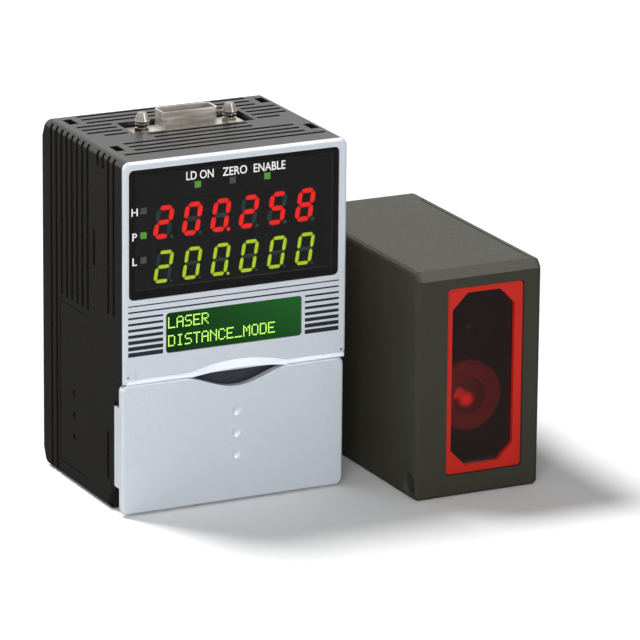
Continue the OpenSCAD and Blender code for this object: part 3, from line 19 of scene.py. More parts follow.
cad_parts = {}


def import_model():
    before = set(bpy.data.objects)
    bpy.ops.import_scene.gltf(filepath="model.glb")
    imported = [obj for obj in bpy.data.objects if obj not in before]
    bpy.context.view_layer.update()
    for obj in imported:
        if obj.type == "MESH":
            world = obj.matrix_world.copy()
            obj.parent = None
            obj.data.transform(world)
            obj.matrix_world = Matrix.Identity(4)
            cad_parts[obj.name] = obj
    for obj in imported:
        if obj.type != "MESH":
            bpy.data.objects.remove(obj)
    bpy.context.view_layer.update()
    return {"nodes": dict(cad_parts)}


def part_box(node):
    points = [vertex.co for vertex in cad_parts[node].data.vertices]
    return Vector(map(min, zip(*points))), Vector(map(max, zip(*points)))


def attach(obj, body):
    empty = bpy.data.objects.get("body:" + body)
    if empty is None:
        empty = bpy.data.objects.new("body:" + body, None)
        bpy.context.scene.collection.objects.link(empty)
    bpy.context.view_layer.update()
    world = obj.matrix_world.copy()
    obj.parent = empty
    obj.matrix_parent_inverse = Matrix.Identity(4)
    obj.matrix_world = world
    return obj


LOG = logging.getLogger("displacement_sensor")
MM = 0.001

Tree = bpy.types.NodeTree
Node = bpy.types.Node
Socket = bpy.types.NodeSocket
Material = bpy.types.Material

# Values between which nearly all of a noise texture lies
NOISE_LOW, NOISE_HIGH = 0.3, 0.7
# The same for the sum of two of them
SUM_LOW, SUM_HIGH = 0.5, 1.5
# Radians by which the wave texture turns in one unit of its coordinates
WAVE_RATE = 20.0
# From this share of metal on, a finish keeps the shader's own index of refraction
METAL_FROM = 0.5
# The Mix node's colour inputs and colour output
MIX_A, MIX_B, MIX_COLOUR = 6, 7, 2


class Body(Enum):
    """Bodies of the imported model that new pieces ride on."""

    SET = "sensor_set"
    UP = "up_key"
    DOWN = "down_key"
    LEFT = "left_key"
    RIGHT = "right_key"
    ENTER = "set_key"
    ESCAPE = "escape_key"


def linear(colour: str) -> tuple[float, float, float, float]:
    """Linear colour of an sRGB hex value.

    Args:
        colour: Text such as "#c3c8cf".

    Returns:
        Red, green, blue and an alpha of 1.
    """
    srgb = np.array([int(colour[i : i + 2], 16) for i in (1, 3, 5)]) / 255.0
    rgb = np.where(srgb <= 0.04045, srgb / 12.92, ((srgb + 0.055) / 1.055) ** 2.4)
    return (*(float(c) for c in rgb), 1.0)


def per_mm(size: float) -> float:
    """Texture scale at which one feature of a pattern is this many millimetres wide."""
    return 1.0 / (size * MM)


def add_node(
    tree: Tree,
    kind: str,
    links: dict[str | int, Socket] | None = None,
    values: dict[str | int, object] | None = None,
    **settings: object,
) -> Node:
    """Adds one node with its settings, socket values and incoming links.

    Args:
        tree: Node tree that takes the node.
        kind: Blender's name of the node type.
        links: Input name or number to the output socket that feeds it.
        values: Input name or number to its constant value.
        **settings: Attributes of the node itself.

    Returns:
        The new node.
    """
    node = tree.nodes.new(kind)
    for name, value in settings.items():
        setattr(node, name, value)
    for socket, value in (values or {}).items():
        node.inputs[socket].default_value = value
    for socket, source in (links or {}).items():
        tree.links.new(source, node.inputs[socket])
    return node


@dataclass(frozen=True)
class Finish:
    """A material: its name, colour and the typical numbers of what it is made of."""

    name: str
    colour: str
    roughness: float = 0.5
    metallic: float = 0.0
    ior: float = 1.5
    specular: float = 0.5

    def material(self) -> Material:
        """Builds the material with its shader and its own pattern.

        Returns:
            The finished material.
        """
        made = bpy.data.materials.new(self.name)
        made.use_nodes = True
        tree = made.node_tree
        tree.nodes.clear()
        values = {
            "Base Color": linear(self.colour),
            "Roughness": self.roughness,
            "Metallic": self.metallic,
            "Specular IOR Level": self.specular,
        }
        if self.metallic < METAL_FROM:
            values["IOR"] = self.ior
        shader = add_node(tree, "ShaderNodeBsdfPrincipled", values=values)
        add_node(tree, "ShaderNodeOutputMaterial", {"Surface": shader.outputs["BSDF"]})
        place = add_node(tree, "ShaderNodeTexCoord").outputs["Object"]
        self.pattern(tree, shader, place)
        return made

    def pattern(self, tree: Tree, shader: Node, place: Socket) -> None:
        """Adds nothing: a finish with a surface pattern says so itself."""


@dataclass(frozen=True)
class Moulded(Finish):
    """Moulded or painted surface: a spark-eroded or sprayed grain, seen as soft speckle and uneven gloss.

    Grain is the width of a grain of the texture in millimetres, drawn about twice as coarse as the real one so
    that it shows at this distance. Relief is its height in millimetres, mottle how far its colour varies, and
    cloud the width of the broad patches in which it does. Bite is how strongly the relief turns the light.
    """

    grain: float = 0.5
    relief: float = 0.01
    mottle: float = 0.08
    gloss_spread: float = 0.08
    cloud: float = 14.0
    bite: float = 0.6
    least_roughness: float = 0.02

    def pattern(self, tree: Tree, shader: Node, place: Socket) -> None:
        """Fine grain drives colour, gloss and bump; a broad cloud varies the colour a little over the piece.

        Args:
            tree: Node tree of the material.
            shader: Its surface shader.
            place: Object coordinates.
        """
        fine = add_node(
            tree,
            "ShaderNodeTexNoise",
            {"Vector": place},
            {"Scale": per_mm(self.grain), "Detail": 3.0, "Roughness": 0.6},
        )
        broad = add_node(
            tree, "ShaderNodeTexNoise", {"Vector": place}, {"Scale": per_mm(self.cloud), "Detail": 2.0}
        )
        both = add_node(
            tree, "ShaderNodeMath", {0: fine.outputs["Fac"], 1: broad.outputs["Fac"]}, operation="ADD"
        )
        shade = add_node(
            tree,
            "ShaderNodeMapRange",
            {"Value": both.outputs[0]},
            {
                "From Min": SUM_LOW,
                "From Max": SUM_HIGH,
                "To Min": 1.0 - self.mottle,
                "To Max": 1.0 + self.mottle,
            },
        )
        tint = add_node(
            tree,
            "ShaderNodeVectorMath",
            {"Scale": shade.outputs["Result"]},
            {0: linear(self.colour)[:3]},
            operation="SCALE",
        )
        tree.links.new(tint.outputs["Vector"], shader.inputs["Base Color"])
        gloss = add_node(
            tree,
            "ShaderNodeMapRange",
            {"Value": fine.outputs["Fac"]},
            {
                "From Min": NOISE_LOW,
                "From Max": NOISE_HIGH,
                "To Min": max(self.roughness - self.gloss_spread, self.least_roughness),
                "To Max": min(self.roughness + self.gloss_spread, 1.0),
            },
        )
        tree.links.new(gloss.outputs["Result"], shader.inputs["Roughness"])
        bump = add_node(
            tree,
            "ShaderNodeBump",
            {"Height": fine.outputs["Fac"]},
            {"Strength": self.bite, "Distance": self.relief * MM},
        )
        tree.links.new(bump.outputs["Normal"], shader.inputs["Normal"])


@dataclass(frozen=True)
class Plated(Finish):
    """Plated metal: almost a mirror, blurred by drawing marks up its sides, with darker and lighter bands across
    them that are partly uneven plating and partly painted reflection.

    Streak is the width of a drawing mark and band the height of a darker band in millimetres, both coarser than
    real ones so that they show. The bands are partly uneven plating and partly painted reflection of the
    surroundings: the plate takes the darker colour where the band's noise is below one value and its own colour
    above another.
    """

    streak: float = 0.35
    gloss_spread: float = 0.08
    band: float = 1.6
    # Colour of the darker bands: partly uneven plating, partly painted reflection
    plating_and_reflection_dark: str = "#7d776d"
    mark_stretch: float = 0.08
    band_stretch: float = 0.12
    dark_band_below: float = 0.35
    light_band_above: float = 0.65
    least_roughness: float = 0.03

    def pattern(self, tree: Tree, shader: Node, place: Socket) -> None:
        """Noise stretched along z varies the gloss, and noise stretched along x and y the colour.

        Args:
            tree: Node tree of the material.
            shader: Its surface shader.
            place: Object coordinates.
        """
        tall = add_node(
            tree, "ShaderNodeMapping", {"Vector": place}, {"Scale": (1.0, 1.0, self.mark_stretch)}
        )
        marks = add_node(
            tree,
            "ShaderNodeTexNoise",
            {"Vector": tall.outputs["Vector"]},
            {"Scale": per_mm(self.streak), "Detail": 4.0},
        )
        gloss = add_node(
            tree,
            "ShaderNodeMapRange",
            {"Value": marks.outputs["Fac"]},
            {
                "From Min": NOISE_LOW,
                "From Max": NOISE_HIGH,
                "To Min": max(self.roughness - self.gloss_spread, self.least_roughness),
                "To Max": self.roughness + self.gloss_spread,
            },
        )
        tree.links.new(gloss.outputs["Result"], shader.inputs["Roughness"])
        # Darker and lighter bands across the plate: partly uneven plating, partly painted reflection of the
        # surroundings
        flat = add_node(
            tree,
            "ShaderNodeMapping",
            {"Vector": place},
            {"Scale": (self.band_stretch, self.band_stretch, 1.0)},
        )
        bands = add_node(
            tree,
            "ShaderNodeTexNoise",
            {"Vector": flat.outputs["Vector"]},
            {"Scale": per_mm(self.band), "Detail": 3.0, "Roughness": 0.55},
        )
        share = add_node(
            tree,
            "ShaderNodeMapRange",
            {"Value": bands.outputs["Fac"]},
            {"From Min": self.dark_band_below, "From Max": self.light_band_above, "To Min": 0.0, "To Max": 1.0},
        )
        mixed = add_node(
            tree,
            "ShaderNodeMix",
            {0: share.outputs["Result"]},
            {MIX_A: linear(self.plating_and_reflection_dark), MIX_B: linear(self.colour)},
            data_type="RGBA",
        )
        tree.links.new(mixed.outputs[MIX_COLOUR], shader.inputs["Base Color"])


@dataclass(frozen=True)
class Turned(Finish):
    """Lathe-turned metal: rings around an axis along y, at the given place in x and z.

    Pitch is the distance between rings in millimetres, far coarser than real tool marks so that they show, and
    bite how strongly they turn the light. The painted stray glow is the strength of a painted glow in the
    finish's colour that stands in for stray laser light reaching the piece in the housing.
    """

    axis_x: float = 0.0
    axis_z: float = 0.0
    pitch: float = 3.14
    gloss_spread: float = 0.08
    ring_height: float = 0.02
    bite: float = 0.4
    painted_stray_glow: float = 0.0

    def pattern(self, tree: Tree, shader: Node, place: Socket) -> None:
        """Ring waves centred on the turning axis give the bump and gloss of tool marks.

        Args:
            tree: Node tree of the material.
            shader: Its surface shader.
            place: Object coordinates.
        """
        # Painted glow in the finish's colour, standing in for stray laser light on the ring
        shader.inputs["Emission Color"].default_value = linear(self.colour)
        shader.inputs["Emission Strength"].default_value = self.painted_stray_glow
        centred = add_node(
            tree,
            "ShaderNodeMapping",
            {"Vector": place},
            {"Location": (-self.axis_x * MM, 0.0, -self.axis_z * MM)},
        )
        rings = add_node(
            tree,
            "ShaderNodeTexWave",
            {"Vector": centred.outputs["Vector"]},
            {"Scale": math.tau / WAVE_RATE * per_mm(self.pitch), "Distortion": 0.0},
            wave_type="RINGS",
            rings_direction="Y",
        )
        gloss = add_node(
            tree,
            "ShaderNodeMapRange",
            {"Value": rings.outputs["Fac"]},
            {"To Min": self.roughness - self.gloss_spread, "To Max": self.roughness + self.gloss_spread},
        )
        tree.links.new(gloss.outputs["Result"], shader.inputs["Roughness"])
        bump = add_node(
            tree,
            "ShaderNodeBump",
            {"Height": rings.outputs["Fac"]},
            {"Strength": self.bite, "Distance": self.ring_height * MM},
        )
        tree.links.new(bump.outputs["Normal"], shader.inputs["Normal"])


@dataclass(frozen=True)
class Clear(Finish):
    """Clear sheet, filter or lens: tinted through its thickness, polished, with a trace of wiping haze.

    Clarity is the share that the tint lets through, and the painted veil glow is a faint painted glow in the sheet's
    colour that stands in for the room light its coating scatters. Haze is the roughness of a wiped patch over the
    polish, and wipe the patch's width in millimetres.
    """

    haze: float = 0.02
    clarity: float = 1.0
    painted_veil_glow: float = 0.0
    wipe: float = 9.0

    def pattern(self, tree: Tree, shader: Node, place: Socket) -> None:
        """Transmission less the share that the tint scatters, with broad noise as the haze in the polish.

        Args:
            tree: Node tree of the material.
            shader: Its surface shader.
            place: Object coordinates.
        """
        shader.inputs["Transmission Weight"].default_value = self.clarity
        # Painted glow in the sheet's colour, standing in for the room light its coating scatters
        shader.inputs["Emission Color"].default_value = linear(self.colour)
        shader.inputs["Emission Strength"].default_value = self.painted_veil_glow
        wiped = add_node(
            tree, "ShaderNodeTexNoise", {"Vector": place}, {"Scale": per_mm(self.wipe), "Detail": 3.0}
        )
        gloss = add_node(
            tree,
            "ShaderNodeMapRange",
            {"Value": wiped.outputs["Fac"]},
            {
                "From Min": NOISE_LOW,
                "From Max": NOISE_HIGH,
                "To Min": self.roughness,
                "To Max": self.roughness + self.haze,
            },
        )
        tree.links.new(gloss.outputs["Result"], shader.inputs["Roughness"])


@dataclass(frozen=True)
class PaintedSpot:
    """One soft oval of painted light on a lens, a painted glow standing in for laser light on it: its middle from
    the lens axis and half lengths in mm, turn and power.
    """

    x: float
    z: float
    half_x: float
    half_z: float
    turn_degrees: float
    power: float


@dataclass(frozen=True)
class PaintedSpotLens(Clear):
    """Lens with painted laser light: clear glass with soft red ovals of painted glow, standing in for the laser
    light that it scatters to the eye.

    Core is the share of an oval's half lengths within which it has its full power.
    """

    glow: str = "#ff2a1e"
    axis_x: float = 0.0
    axis_z: float = 0.0
    core: float = 0.35
    painted_spots: tuple[PaintedSpot, ...] = ()

    def pattern(self, tree: Tree, shader: Node, place: Socket) -> None:
        """A painted oval glow has its power in its core, fading to nothing at its half lengths; the strongest
        counts.

        Args:
            tree: Node tree of the material.
            shader: Its surface shader.
            place: Object coordinates.
        """
        super().pattern(tree, shader, place)
        total = None
        for spot in self.painted_spots:
            middle = (-(self.axis_x + spot.x) * MM, 0.0, -(self.axis_z + spot.z) * MM)
            moved = add_node(tree, "ShaderNodeMapping", {"Vector": place}, {"Location": middle})
            turned = add_node(
                tree,
                "ShaderNodeMapping",
                {"Vector": moved.outputs["Vector"]},
                {"Rotation": (0.0, math.radians(spot.turn_degrees), 0.0)},
            )
            scaled = add_node(
                tree,
                "ShaderNodeMapping",
                {"Vector": turned.outputs["Vector"]},
                {"Scale": (per_mm(spot.half_x), 0.0, per_mm(spot.half_z))},
            )
            away = add_node(
                tree, "ShaderNodeVectorMath", {0: scaled.outputs["Vector"]}, operation="LENGTH"
            )
            fade = add_node(
                tree,
                "ShaderNodeMapRange",
                {"Value": away.outputs["Value"]},
                {"From Min": self.core, "From Max": 1.0, "To Min": spot.power, "To Max": 0.0},
                interpolation_type="SMOOTHSTEP",
            )
            light = fade.outputs["Result"]
            if total is not None:
                light = add_node(tree, "ShaderNodeMath", {0: total, 1: light}, operation="MAXIMUM").outputs[0]
            total = light
        # The ovals' light is a painted glow: painted laser light on the lens
        if total is not None:
            shader.inputs["Emission Color"].default_value = linear(self.glow)
            tree.links.new(total, shader.inputs["Emission Strength"])


@dataclass(frozen=True)
class Lit(Finish):
    """Light-emitting diode under diffusing epoxy: an even glow with the grain of the diffuser.

    Grain is the width of the diffuser's grain in millimetres, drawn coarse enough to show, and dim and bright are
    the shares of its power between which the glow varies.
    """

    power: float = 1.0
    grain: float = 0.4
    dim: float = 0.85
    bright: float = 1.1

    def pattern(self, tree: Tree, shader: Node, place: Socket) -> None:
        """Emission of the finish's colour, a little uneven as the diffuser is.

        Args:
            tree: Node tree of the material.
            shader: Its surface shader.
            place: Object coordinates.
        """
        grain = add_node(
            tree, "ShaderNodeTexNoise", {"Vector": place}, {"Scale": per_mm(self.grain), "Detail": 2.0}
        )
        glow = add_node(
            tree,
            "ShaderNodeMapRange",
            {"Value": grain.outputs["Fac"]},
            {
                "From Min": NOISE_LOW,
                "From Max": NOISE_HIGH,
                "To Min": self.dim * self.power,
                "To Max": self.bright * self.power,
            },
        )
        shader.inputs["Emission Color"].default_value = linear(self.colour)
        tree.links.new(glow.outputs["Result"], shader.inputs["Emission Strength"])


@dataclass(frozen=True)
class Backlight(Finish):
    """Character display: green backlight, brighter towards its upper right, under a faint grid of pixel cells.

    The glow runs between two places in x and two in z, which the front sets. Bright is its colour at its full end,
    foot its share at the lower edge, cell the width of a pixel cell and cell_step how far the cells differ.
    """

    bright: str = "#1c5a24"
    from_x: float = 0.0
    to_x: float = 1.0
    from_z: float = 0.0
    to_z: float = 1.0
    foot: float = 0.5
    cell: float = 0.4
    cell_step: float = 0.08
    power: float = 0.2

    def pattern(self, tree: Tree, shader: Node, place: Socket) -> None:
        """Ramps along x and z mix dark and bright green, and a checker of cells breaks it up a little.

        Args:
            tree: Node tree of the material.
            shader: Its surface shader.
            place: Object coordinates.
        """
        parts = add_node(tree, "ShaderNodeSeparateXYZ", {"Vector": place})
        ramp = add_node(
            tree,
            "ShaderNodeMapRange",
            {"Value": parts.outputs["X"]},
            {"From Min": self.from_x * MM, "From Max": self.to_x * MM, "To Min": 0.0, "To Max": 1.0},
        )
        fall = add_node(
            tree,
            "ShaderNodeMapRange",
            {"Value": parts.outputs["Z"]},
            {"From Min": self.from_z * MM, "From Max": self.to_z * MM, "To Min": self.foot, "To Max": 1.0},
        )
        share = add_node(
            tree, "ShaderNodeMath", {0: ramp.outputs["Result"], 1: fall.outputs["Result"]}, operation="MULTIPLY"
        )
        cells = add_node(tree, "ShaderNodeTexChecker", {"Vector": place}, {"Scale": per_mm(self.cell)})
        shade = add_node(
            tree,
            "ShaderNodeMapRange",
            {"Value": cells.outputs["Fac"]},
            {"To Min": (1.0 - self.cell_step) * self.power, "To Max": (1.0 + self.cell_step) * self.power},
        )
        mixed = add_node(
            tree,
            "ShaderNodeMix",
            {0: share.outputs[0]},
            {MIX_A: linear(self.colour), MIX_B: linear(self.bright)},
            data_type="RGBA",
        )
        tree.links.new(mixed.outputs[MIX_COLOUR], shader.inputs["Base Color"])
        tree.links.new(mixed.outputs[MIX_COLOUR], shader.inputs["Emission Color"])
        tree.links.new(shade.outputs["Result"], shader.inputs["Emission Strength"])


@dataclass(frozen=True)
class Laminate(Finish):
    """Glass-fibre circuit board: solder mask with paler copper tracks running under it.

    Cell is the width of the fields between tracks in millimetres, drawn coarser than real ones so that they show.
    A track starts and is full at two distances from a field's middle, as shares of that width.
    """

    cell: float = 3.2
    track_from: float = 0.45
    track_full: float = 0.5
    copper: str = "#2c8a58"

    def pattern(self, tree: Tree, shader: Node, place: Socket) -> None:
        """Cells of a Manhattan Voronoi pattern leave square-cornered tracks along their borders.

        Args:
            tree: Node tree of the material.
            shader: Its surface shader.
            place: Object coordinates.
        """
        tracks = add_node(
            tree,
            "ShaderNodeTexVoronoi",
            {"Vector": place},
            {"Scale": per_mm(self.cell)},
            distance="MANHATTAN",
        )
        edge = add_node(
            tree,
            "ShaderNodeMapRange",
            {"Value": tracks.outputs["Distance"]},
            {"From Min": self.track_from, "From Max": self.track_full, "To Min": 0.0, "To Max": 1.0},
        )
        mixed = add_node(
            tree,
            "ShaderNodeMix",
            {0: edge.outputs["Result"]},
            {MIX_A: linear(self.colour), MIX_B: linear(self.copper)},
            data_type="RGBA",
        )
        tree.links.new(mixed.outputs[MIX_COLOUR], shader.inputs["Base Color"])


@dataclass(frozen=True)
class Palette:
    """Every finish of the set, named for the real material, with what it gives the eye."""

    # ABS from a spark-eroded mould: charcoal with a fine speckle and a broad, dull sheen
    case: Finish = Moulded(
        "spark_textured_black_abs", "#191816", roughness=0.34, specular=0.6, grain=0.45, relief=0.02, mottle=0.14
    )
    # Acetal from a smooth mould: mid grey, waxy and nearly even
    latch: Finish = Moulded("smooth_grey_acetal", "#3c3c3e", roughness=0.42, grain=0.3, relief=0.004)
    # Metallic lacquer on plastic: cool silver with a soft gleam and hardly any grain
    silver: Finish = Moulded(
        "satin_silver_lacquer",
        "#d5dce5",
        roughness=0.32,
        metallic=0.18,
        grain=0.22,
        relief=0.003,
        mottle=0.03,
        gloss_spread=0.06,
    )
    # Screen-printed ink: flat blue-black bars without gleam
    ink: Finish = Moulded("screen_printed_ink", "#20232c", roughness=0.55, specular=0.3, grain=0.2, relief=0.003)
    # Smoked acrylic sheet: polished and see-through, dimming what lies behind it
    window: Finish = Clear("smoked_acrylic", "#c0bdbf", roughness=0.02, ior=1.49, specular=0.3, clarity=0.982)
    # Matt paint that stops stray light: near black without shine
    mask: Finish = Moulded(
        "matt_black_light_mask", "#211e1f", roughness=0.6, specular=0.15, grain=0.3, relief=0.003
    )
    # Filled epoxy: dull black, a shade deeper than the mask
    readout: Finish = Moulded(
        "dark_epoxy_readout_face", "#161617", roughness=0.6, specular=0.15, grain=0.3, relief=0.003
    )
    # Diodes under diffusing epoxy: an even, deep red glow
    red_light: Finish = Lit("lit_red_epoxy", "#ff2014", roughness=0.4, power=1.6)
    # Diodes under diffusing epoxy: an even, yellow-green glow
    green_light: Finish = Lit("lit_green_epoxy", "#bce428", roughness=0.4, power=1.5)
    # Diffusing epoxy with its diodes off: frosted grey-green bars that just show through the smoked sheet
    dark_light: Finish = Moulded(
        "unlit_frosted_epoxy", "#5fa09e", roughness=0.4, specular=0.2, grain=0.4, relief=0.002
    )
    # Lit indicator lens: a small, even green
    lamp_on: Finish = Lit("lit_green_lens", "#5faa3c", roughness=0.4, power=1.5)
    # Unlit indicator lens: frosted and pale, greyed by the smoked sheet
    lamp_off: Finish = Moulded(
        "unlit_frosted_lens", "#e8ebf0", roughness=0.35, specular=0.3, grain=0.4, relief=0.002
    )
    # Liquid-crystal glass over a backlight: deep green, with a hint of cells
    lcd: Finish = Backlight("backlit_character_display", "#0c2c0e", roughness=0.25, specular=0.3)
    # Lit dots of that display: pale yellow-green
    pixel: Finish = Lit("lit_display_pixels", "#b4ea62", roughness=0.4, power=0.95)
    # Pad print in white: opaque and flat
    print_white: Finish = Moulded("white_print", "#f2f2f0", roughness=0.6, grain=0.2, relief=0.002, mottle=0.03)
    # Pad print in dark grey: opaque and flat
    print_dark: Finish = Moulded(
        "dark_grey_print", "#2a2c30", roughness=0.6, grain=0.2, relief=0.002, mottle=0.03
    )
    # Glass fibre under solder mask: satin green with paler tracks
    board: Finish = Laminate("glass_fibre_board", "#175c39", roughness=0.45)
    # ABS from a plainer mould: dark grey with a softer grain than the case
    panel: Finish = Moulded("dark_grey_abs", "#33343a", roughness=0.5, grain=0.4, relief=0.02)
    # Satin moulded keycaps: cool mid grey, smooth to the finger
    key: Finish = Moulded("satin_grey_keycaps", "#a3a8af", roughness=0.42, grain=0.3, relief=0.004)
    # Natural acetal: off-white and smooth
    knob: Finish = Moulded("white_acetal", "#e4e4e0", roughness=0.4, grain=0.3, relief=0.004, mottle=0.03)
    # Satin nickel on drawn steel: warm grey metal, marked up its sides, with darker bands across them that are
    # partly uneven plating and partly painted reflection
    nickel: Finish = Plated(
        "satin_nickel_plate", "#f6f1e9", roughness=0.36, metallic=0.8, gloss_spread=0.06, plating_and_reflection_dark="#aea79b"
    )
    # Bright nickel on turned brass: nearly a mirror, with dark and light bands that are partly uneven plating and
    # partly painted reflection
    chrome: Finish = Plated("bright_nickel_plate", "#a8a49d", roughness=0.15, metallic=1.0, gloss_spread=0.03)
    # Zinc on steel: a blurred, blue-grey mirror, with darker bands that are partly uneven plating and partly
    # painted reflection
    zinc: Finish = Plated("zinc_plated_steel", "#9a9da2", roughness=0.34, metallic=1.0, plating_and_reflection_dark="#7e8186")
    # Gold on spring bronze: a warm yellow gleam, with darker bands that are partly uneven plating and partly
    # painted reflection
    gold: Finish = Plated("gold_plated_contact", "#d2a94e", roughness=0.25, metallic=1.0, plating_and_reflection_dark="#a8843a")
    # Moulded nylon: satin black
    insulator: Finish = Moulded("black_connector_nylon", "#1d1d1f", roughness=0.45, grain=0.3, relief=0.006)
    # Undyed nylon: warm ivory
    link: Finish = Moulded(
        "natural_connector_nylon", "#d8d4c4", roughness=0.45, grain=0.3, relief=0.006, mottle=0.04
    )
    # Fired ferrite: dull charcoal, a little gritty
    ferrite: Finish = Moulded("fired_ferrite", "#3b3a36", roughness=0.6, grain=0.5, relief=0.02)
    # Shrunk sleeve: smooth slate blue with a soft gloss
    sleeve: Finish = Moulded("shrunk_pvc_sleeve", "#2c3a5e", roughness=0.35, grain=0.8, relief=0.01)
    # Textured paint on a die casting: dark olive grey with a fine, even grain and little shine
    casting: Finish = Moulded(
        "textured_paint_on_die_casting",
        "#3a3930",
        roughness=0.42,
        specular=0.15,
        grain=0.4,
        relief=0.005,
        mottle=0.06,
    )
    # Nitrile sheet: flat, dark and soft-looking
    rubber: Finish = Moulded("flat_nitrile_seal", "#2a2924", roughness=0.7, grain=0.4, relief=0.01)
    # Glossy polycarbonate: deep red with a soft gloss
    red: Finish = Moulded(
        "glossy_red_polycarbonate", "#be2114", roughness=0.35, specular=0.3, grain=0.5, relief=0.002, mottle=0.04
    )
    # Filter glass: pale red and polished, with a faint painted glow standing in for the room light its coating
    # scatters
    pane: Finish = Clear("pale_red_filter_glass", "#b89c99", roughness=0.02, ior=1.5, specular=0.25, painted_veil_glow=0.016)
    # Black anodising: swallows the light, so that the tunnel reads as depth
    optics: Finish = Moulded(
        "flat_black_anodising", "#131212", roughness=0.6, specular=0.1, grain=0.3, relief=0.004
    )
    # Red anodising on a turned ring, with a painted dim red glow standing in for stray laser light
    barrel: Finish = Turned("red_anodised_aluminium", "#a82a24", roughness=0.4, metallic=0.6, painted_stray_glow=0.21)
    # Coated glass: clear, with a painted red glow standing in for the image of the laser's light spot, and a second
    # painted glow beside it
    lens: Finish = PaintedSpotLens(
        "lens_glass_with_painted_spots",
        "#c8a0a0",
        roughness=0.02,
        ior=1.5,
        painted_spots=(
            PaintedSpot(x=-1.1, z=-0.5, half_x=2.5, half_z=2.5, turn_degrees=0.0, power=0.5),
            PaintedSpot(x=-3.3, z=1.1, half_x=2.4, half_z=1.3, turn_degrees=42.0, power=0.42),
        ),
    )
    # Coated glass: clear, with a faint painted red streak standing in for reflected laser light
    laser: Finish = PaintedSpotLens(
        "laser_lens_with_painted_streak",
        "#c8a0a0",
        roughness=0.02,
        ior=1.5,
        painted_spots=(PaintedSpot(x=-1.3, z=0.9, half_x=1.0, half_z=0.45, turn_degrees=-10.0, power=0.15),),
    )


def corners(node: str) -> tuple[np.ndarray, np.ndarray]:
    """Lowest and highest corner of a CAD node in millimetres."""
    low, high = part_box(node)
    return np.array(low) / MM, np.array(high) / MM


@dataclass
class Wardrobe:
    """Materials made once from the palette and handed out by the palette's field names."""

    palette: Palette = field(default_factory=Palette)
    made: dict[str, Material] = field(default_factory=dict)

    def get(self, name: str) -> Material:
        """Material of one of the palette's finishes, built at its first use.

        Args:
            name: Field name in the palette.

        Returns:
            The material.
        """
        if name not in self.made:
            self.made[name] = getattr(self.palette, name).material()
        return self.made[name]

    def tailor(self, name: str, **places: float) -> None:
        """Builds a finish with the places, in millimetres, that its pattern has on the piece that wears it."""
        self.made[name] = replace(getattr(self.palette, name), **places).material()


@dataclass
class Patch:
    """Vertices and faces of a mesh under work, in millimetres."""

    points: np.ndarray
    faces: np.ndarray

    @staticmethod
    def join(parts: list[Patch]) -> Patch:
        """One patch of several whose faces have the same number of corners.

        Args:
            parts: Patches to put together.

        Returns:
            The joined patch.
        """
        starts = np.cumsum([0] + [len(p.points) for p in parts[:-1]])
        return Patch(
            np.concatenate([p.points for p in parts]),
            np.concatenate([p.faces + s for p, s in zip(parts, starts)]),
        )

    @staticmethod
    def boxes(low: np.ndarray, high: np.ndarray) -> Patch:
        """Closed boxes between pairs of corners.

        A corner of a box is its low corner where the corner's bit is 0 and its high one where it is 1.

        Args:
            low: Lowest corners, one row a box.
            high: Highest corners, one row a box.

        Returns:
            Eight points and six outward faces a box.
        """
        bits = (np.arange(8)[:, None] >> np.arange(3)) & 1
        points = np.where(bits[None], high[:, None], low[:, None]).reshape(-1, 3)
        quads = np.array(
            [[0, 2, 3, 1], [4, 5, 7, 6], [0, 1, 5, 4], [2, 6, 7, 3], [0, 4, 6, 2], [1, 3, 7, 5]]
        )
        faces = (quads[None] + 8 * np.arange(len(low))[:, None, None]).reshape(-1, 4)
        return Patch(points, faces)

    def piece(self, name: str, material: Material, body: Body) -> None:
        """Makes the patch an object that rides on a body, at the origin with its place in its mesh.

        Args:
            name: Piece name.
            material: Its finish.
            body: Body that carries it.
        """
        mesh = bpy.data.meshes.new(name)
        sides = self.faces.shape[1]
        mesh.vertices.add(len(self.points))
        mesh.vertices.foreach_set("co", (self.points * MM).astype(np.float32).ravel())
        mesh.loops.add(self.faces.size)
        mesh.loops.foreach_set("vertex_index", self.faces.astype(np.int32).ravel())
        mesh.polygons.add(len(self.faces))
        mesh.polygons.foreach_set("loop_start", np.arange(0, self.faces.size, sides, dtype=np.int32))
        mesh.update(calc_edges=True)
        mesh.validate()
        mesh.materials.append(material)
        made = bpy.data.objects.new(name, mesh)
        bpy.context.scene.collection.objects.link(made)
        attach(made, body.value)
        LOG.info("piece %s: %d faces on %s", name, len(self.faces), body.value)


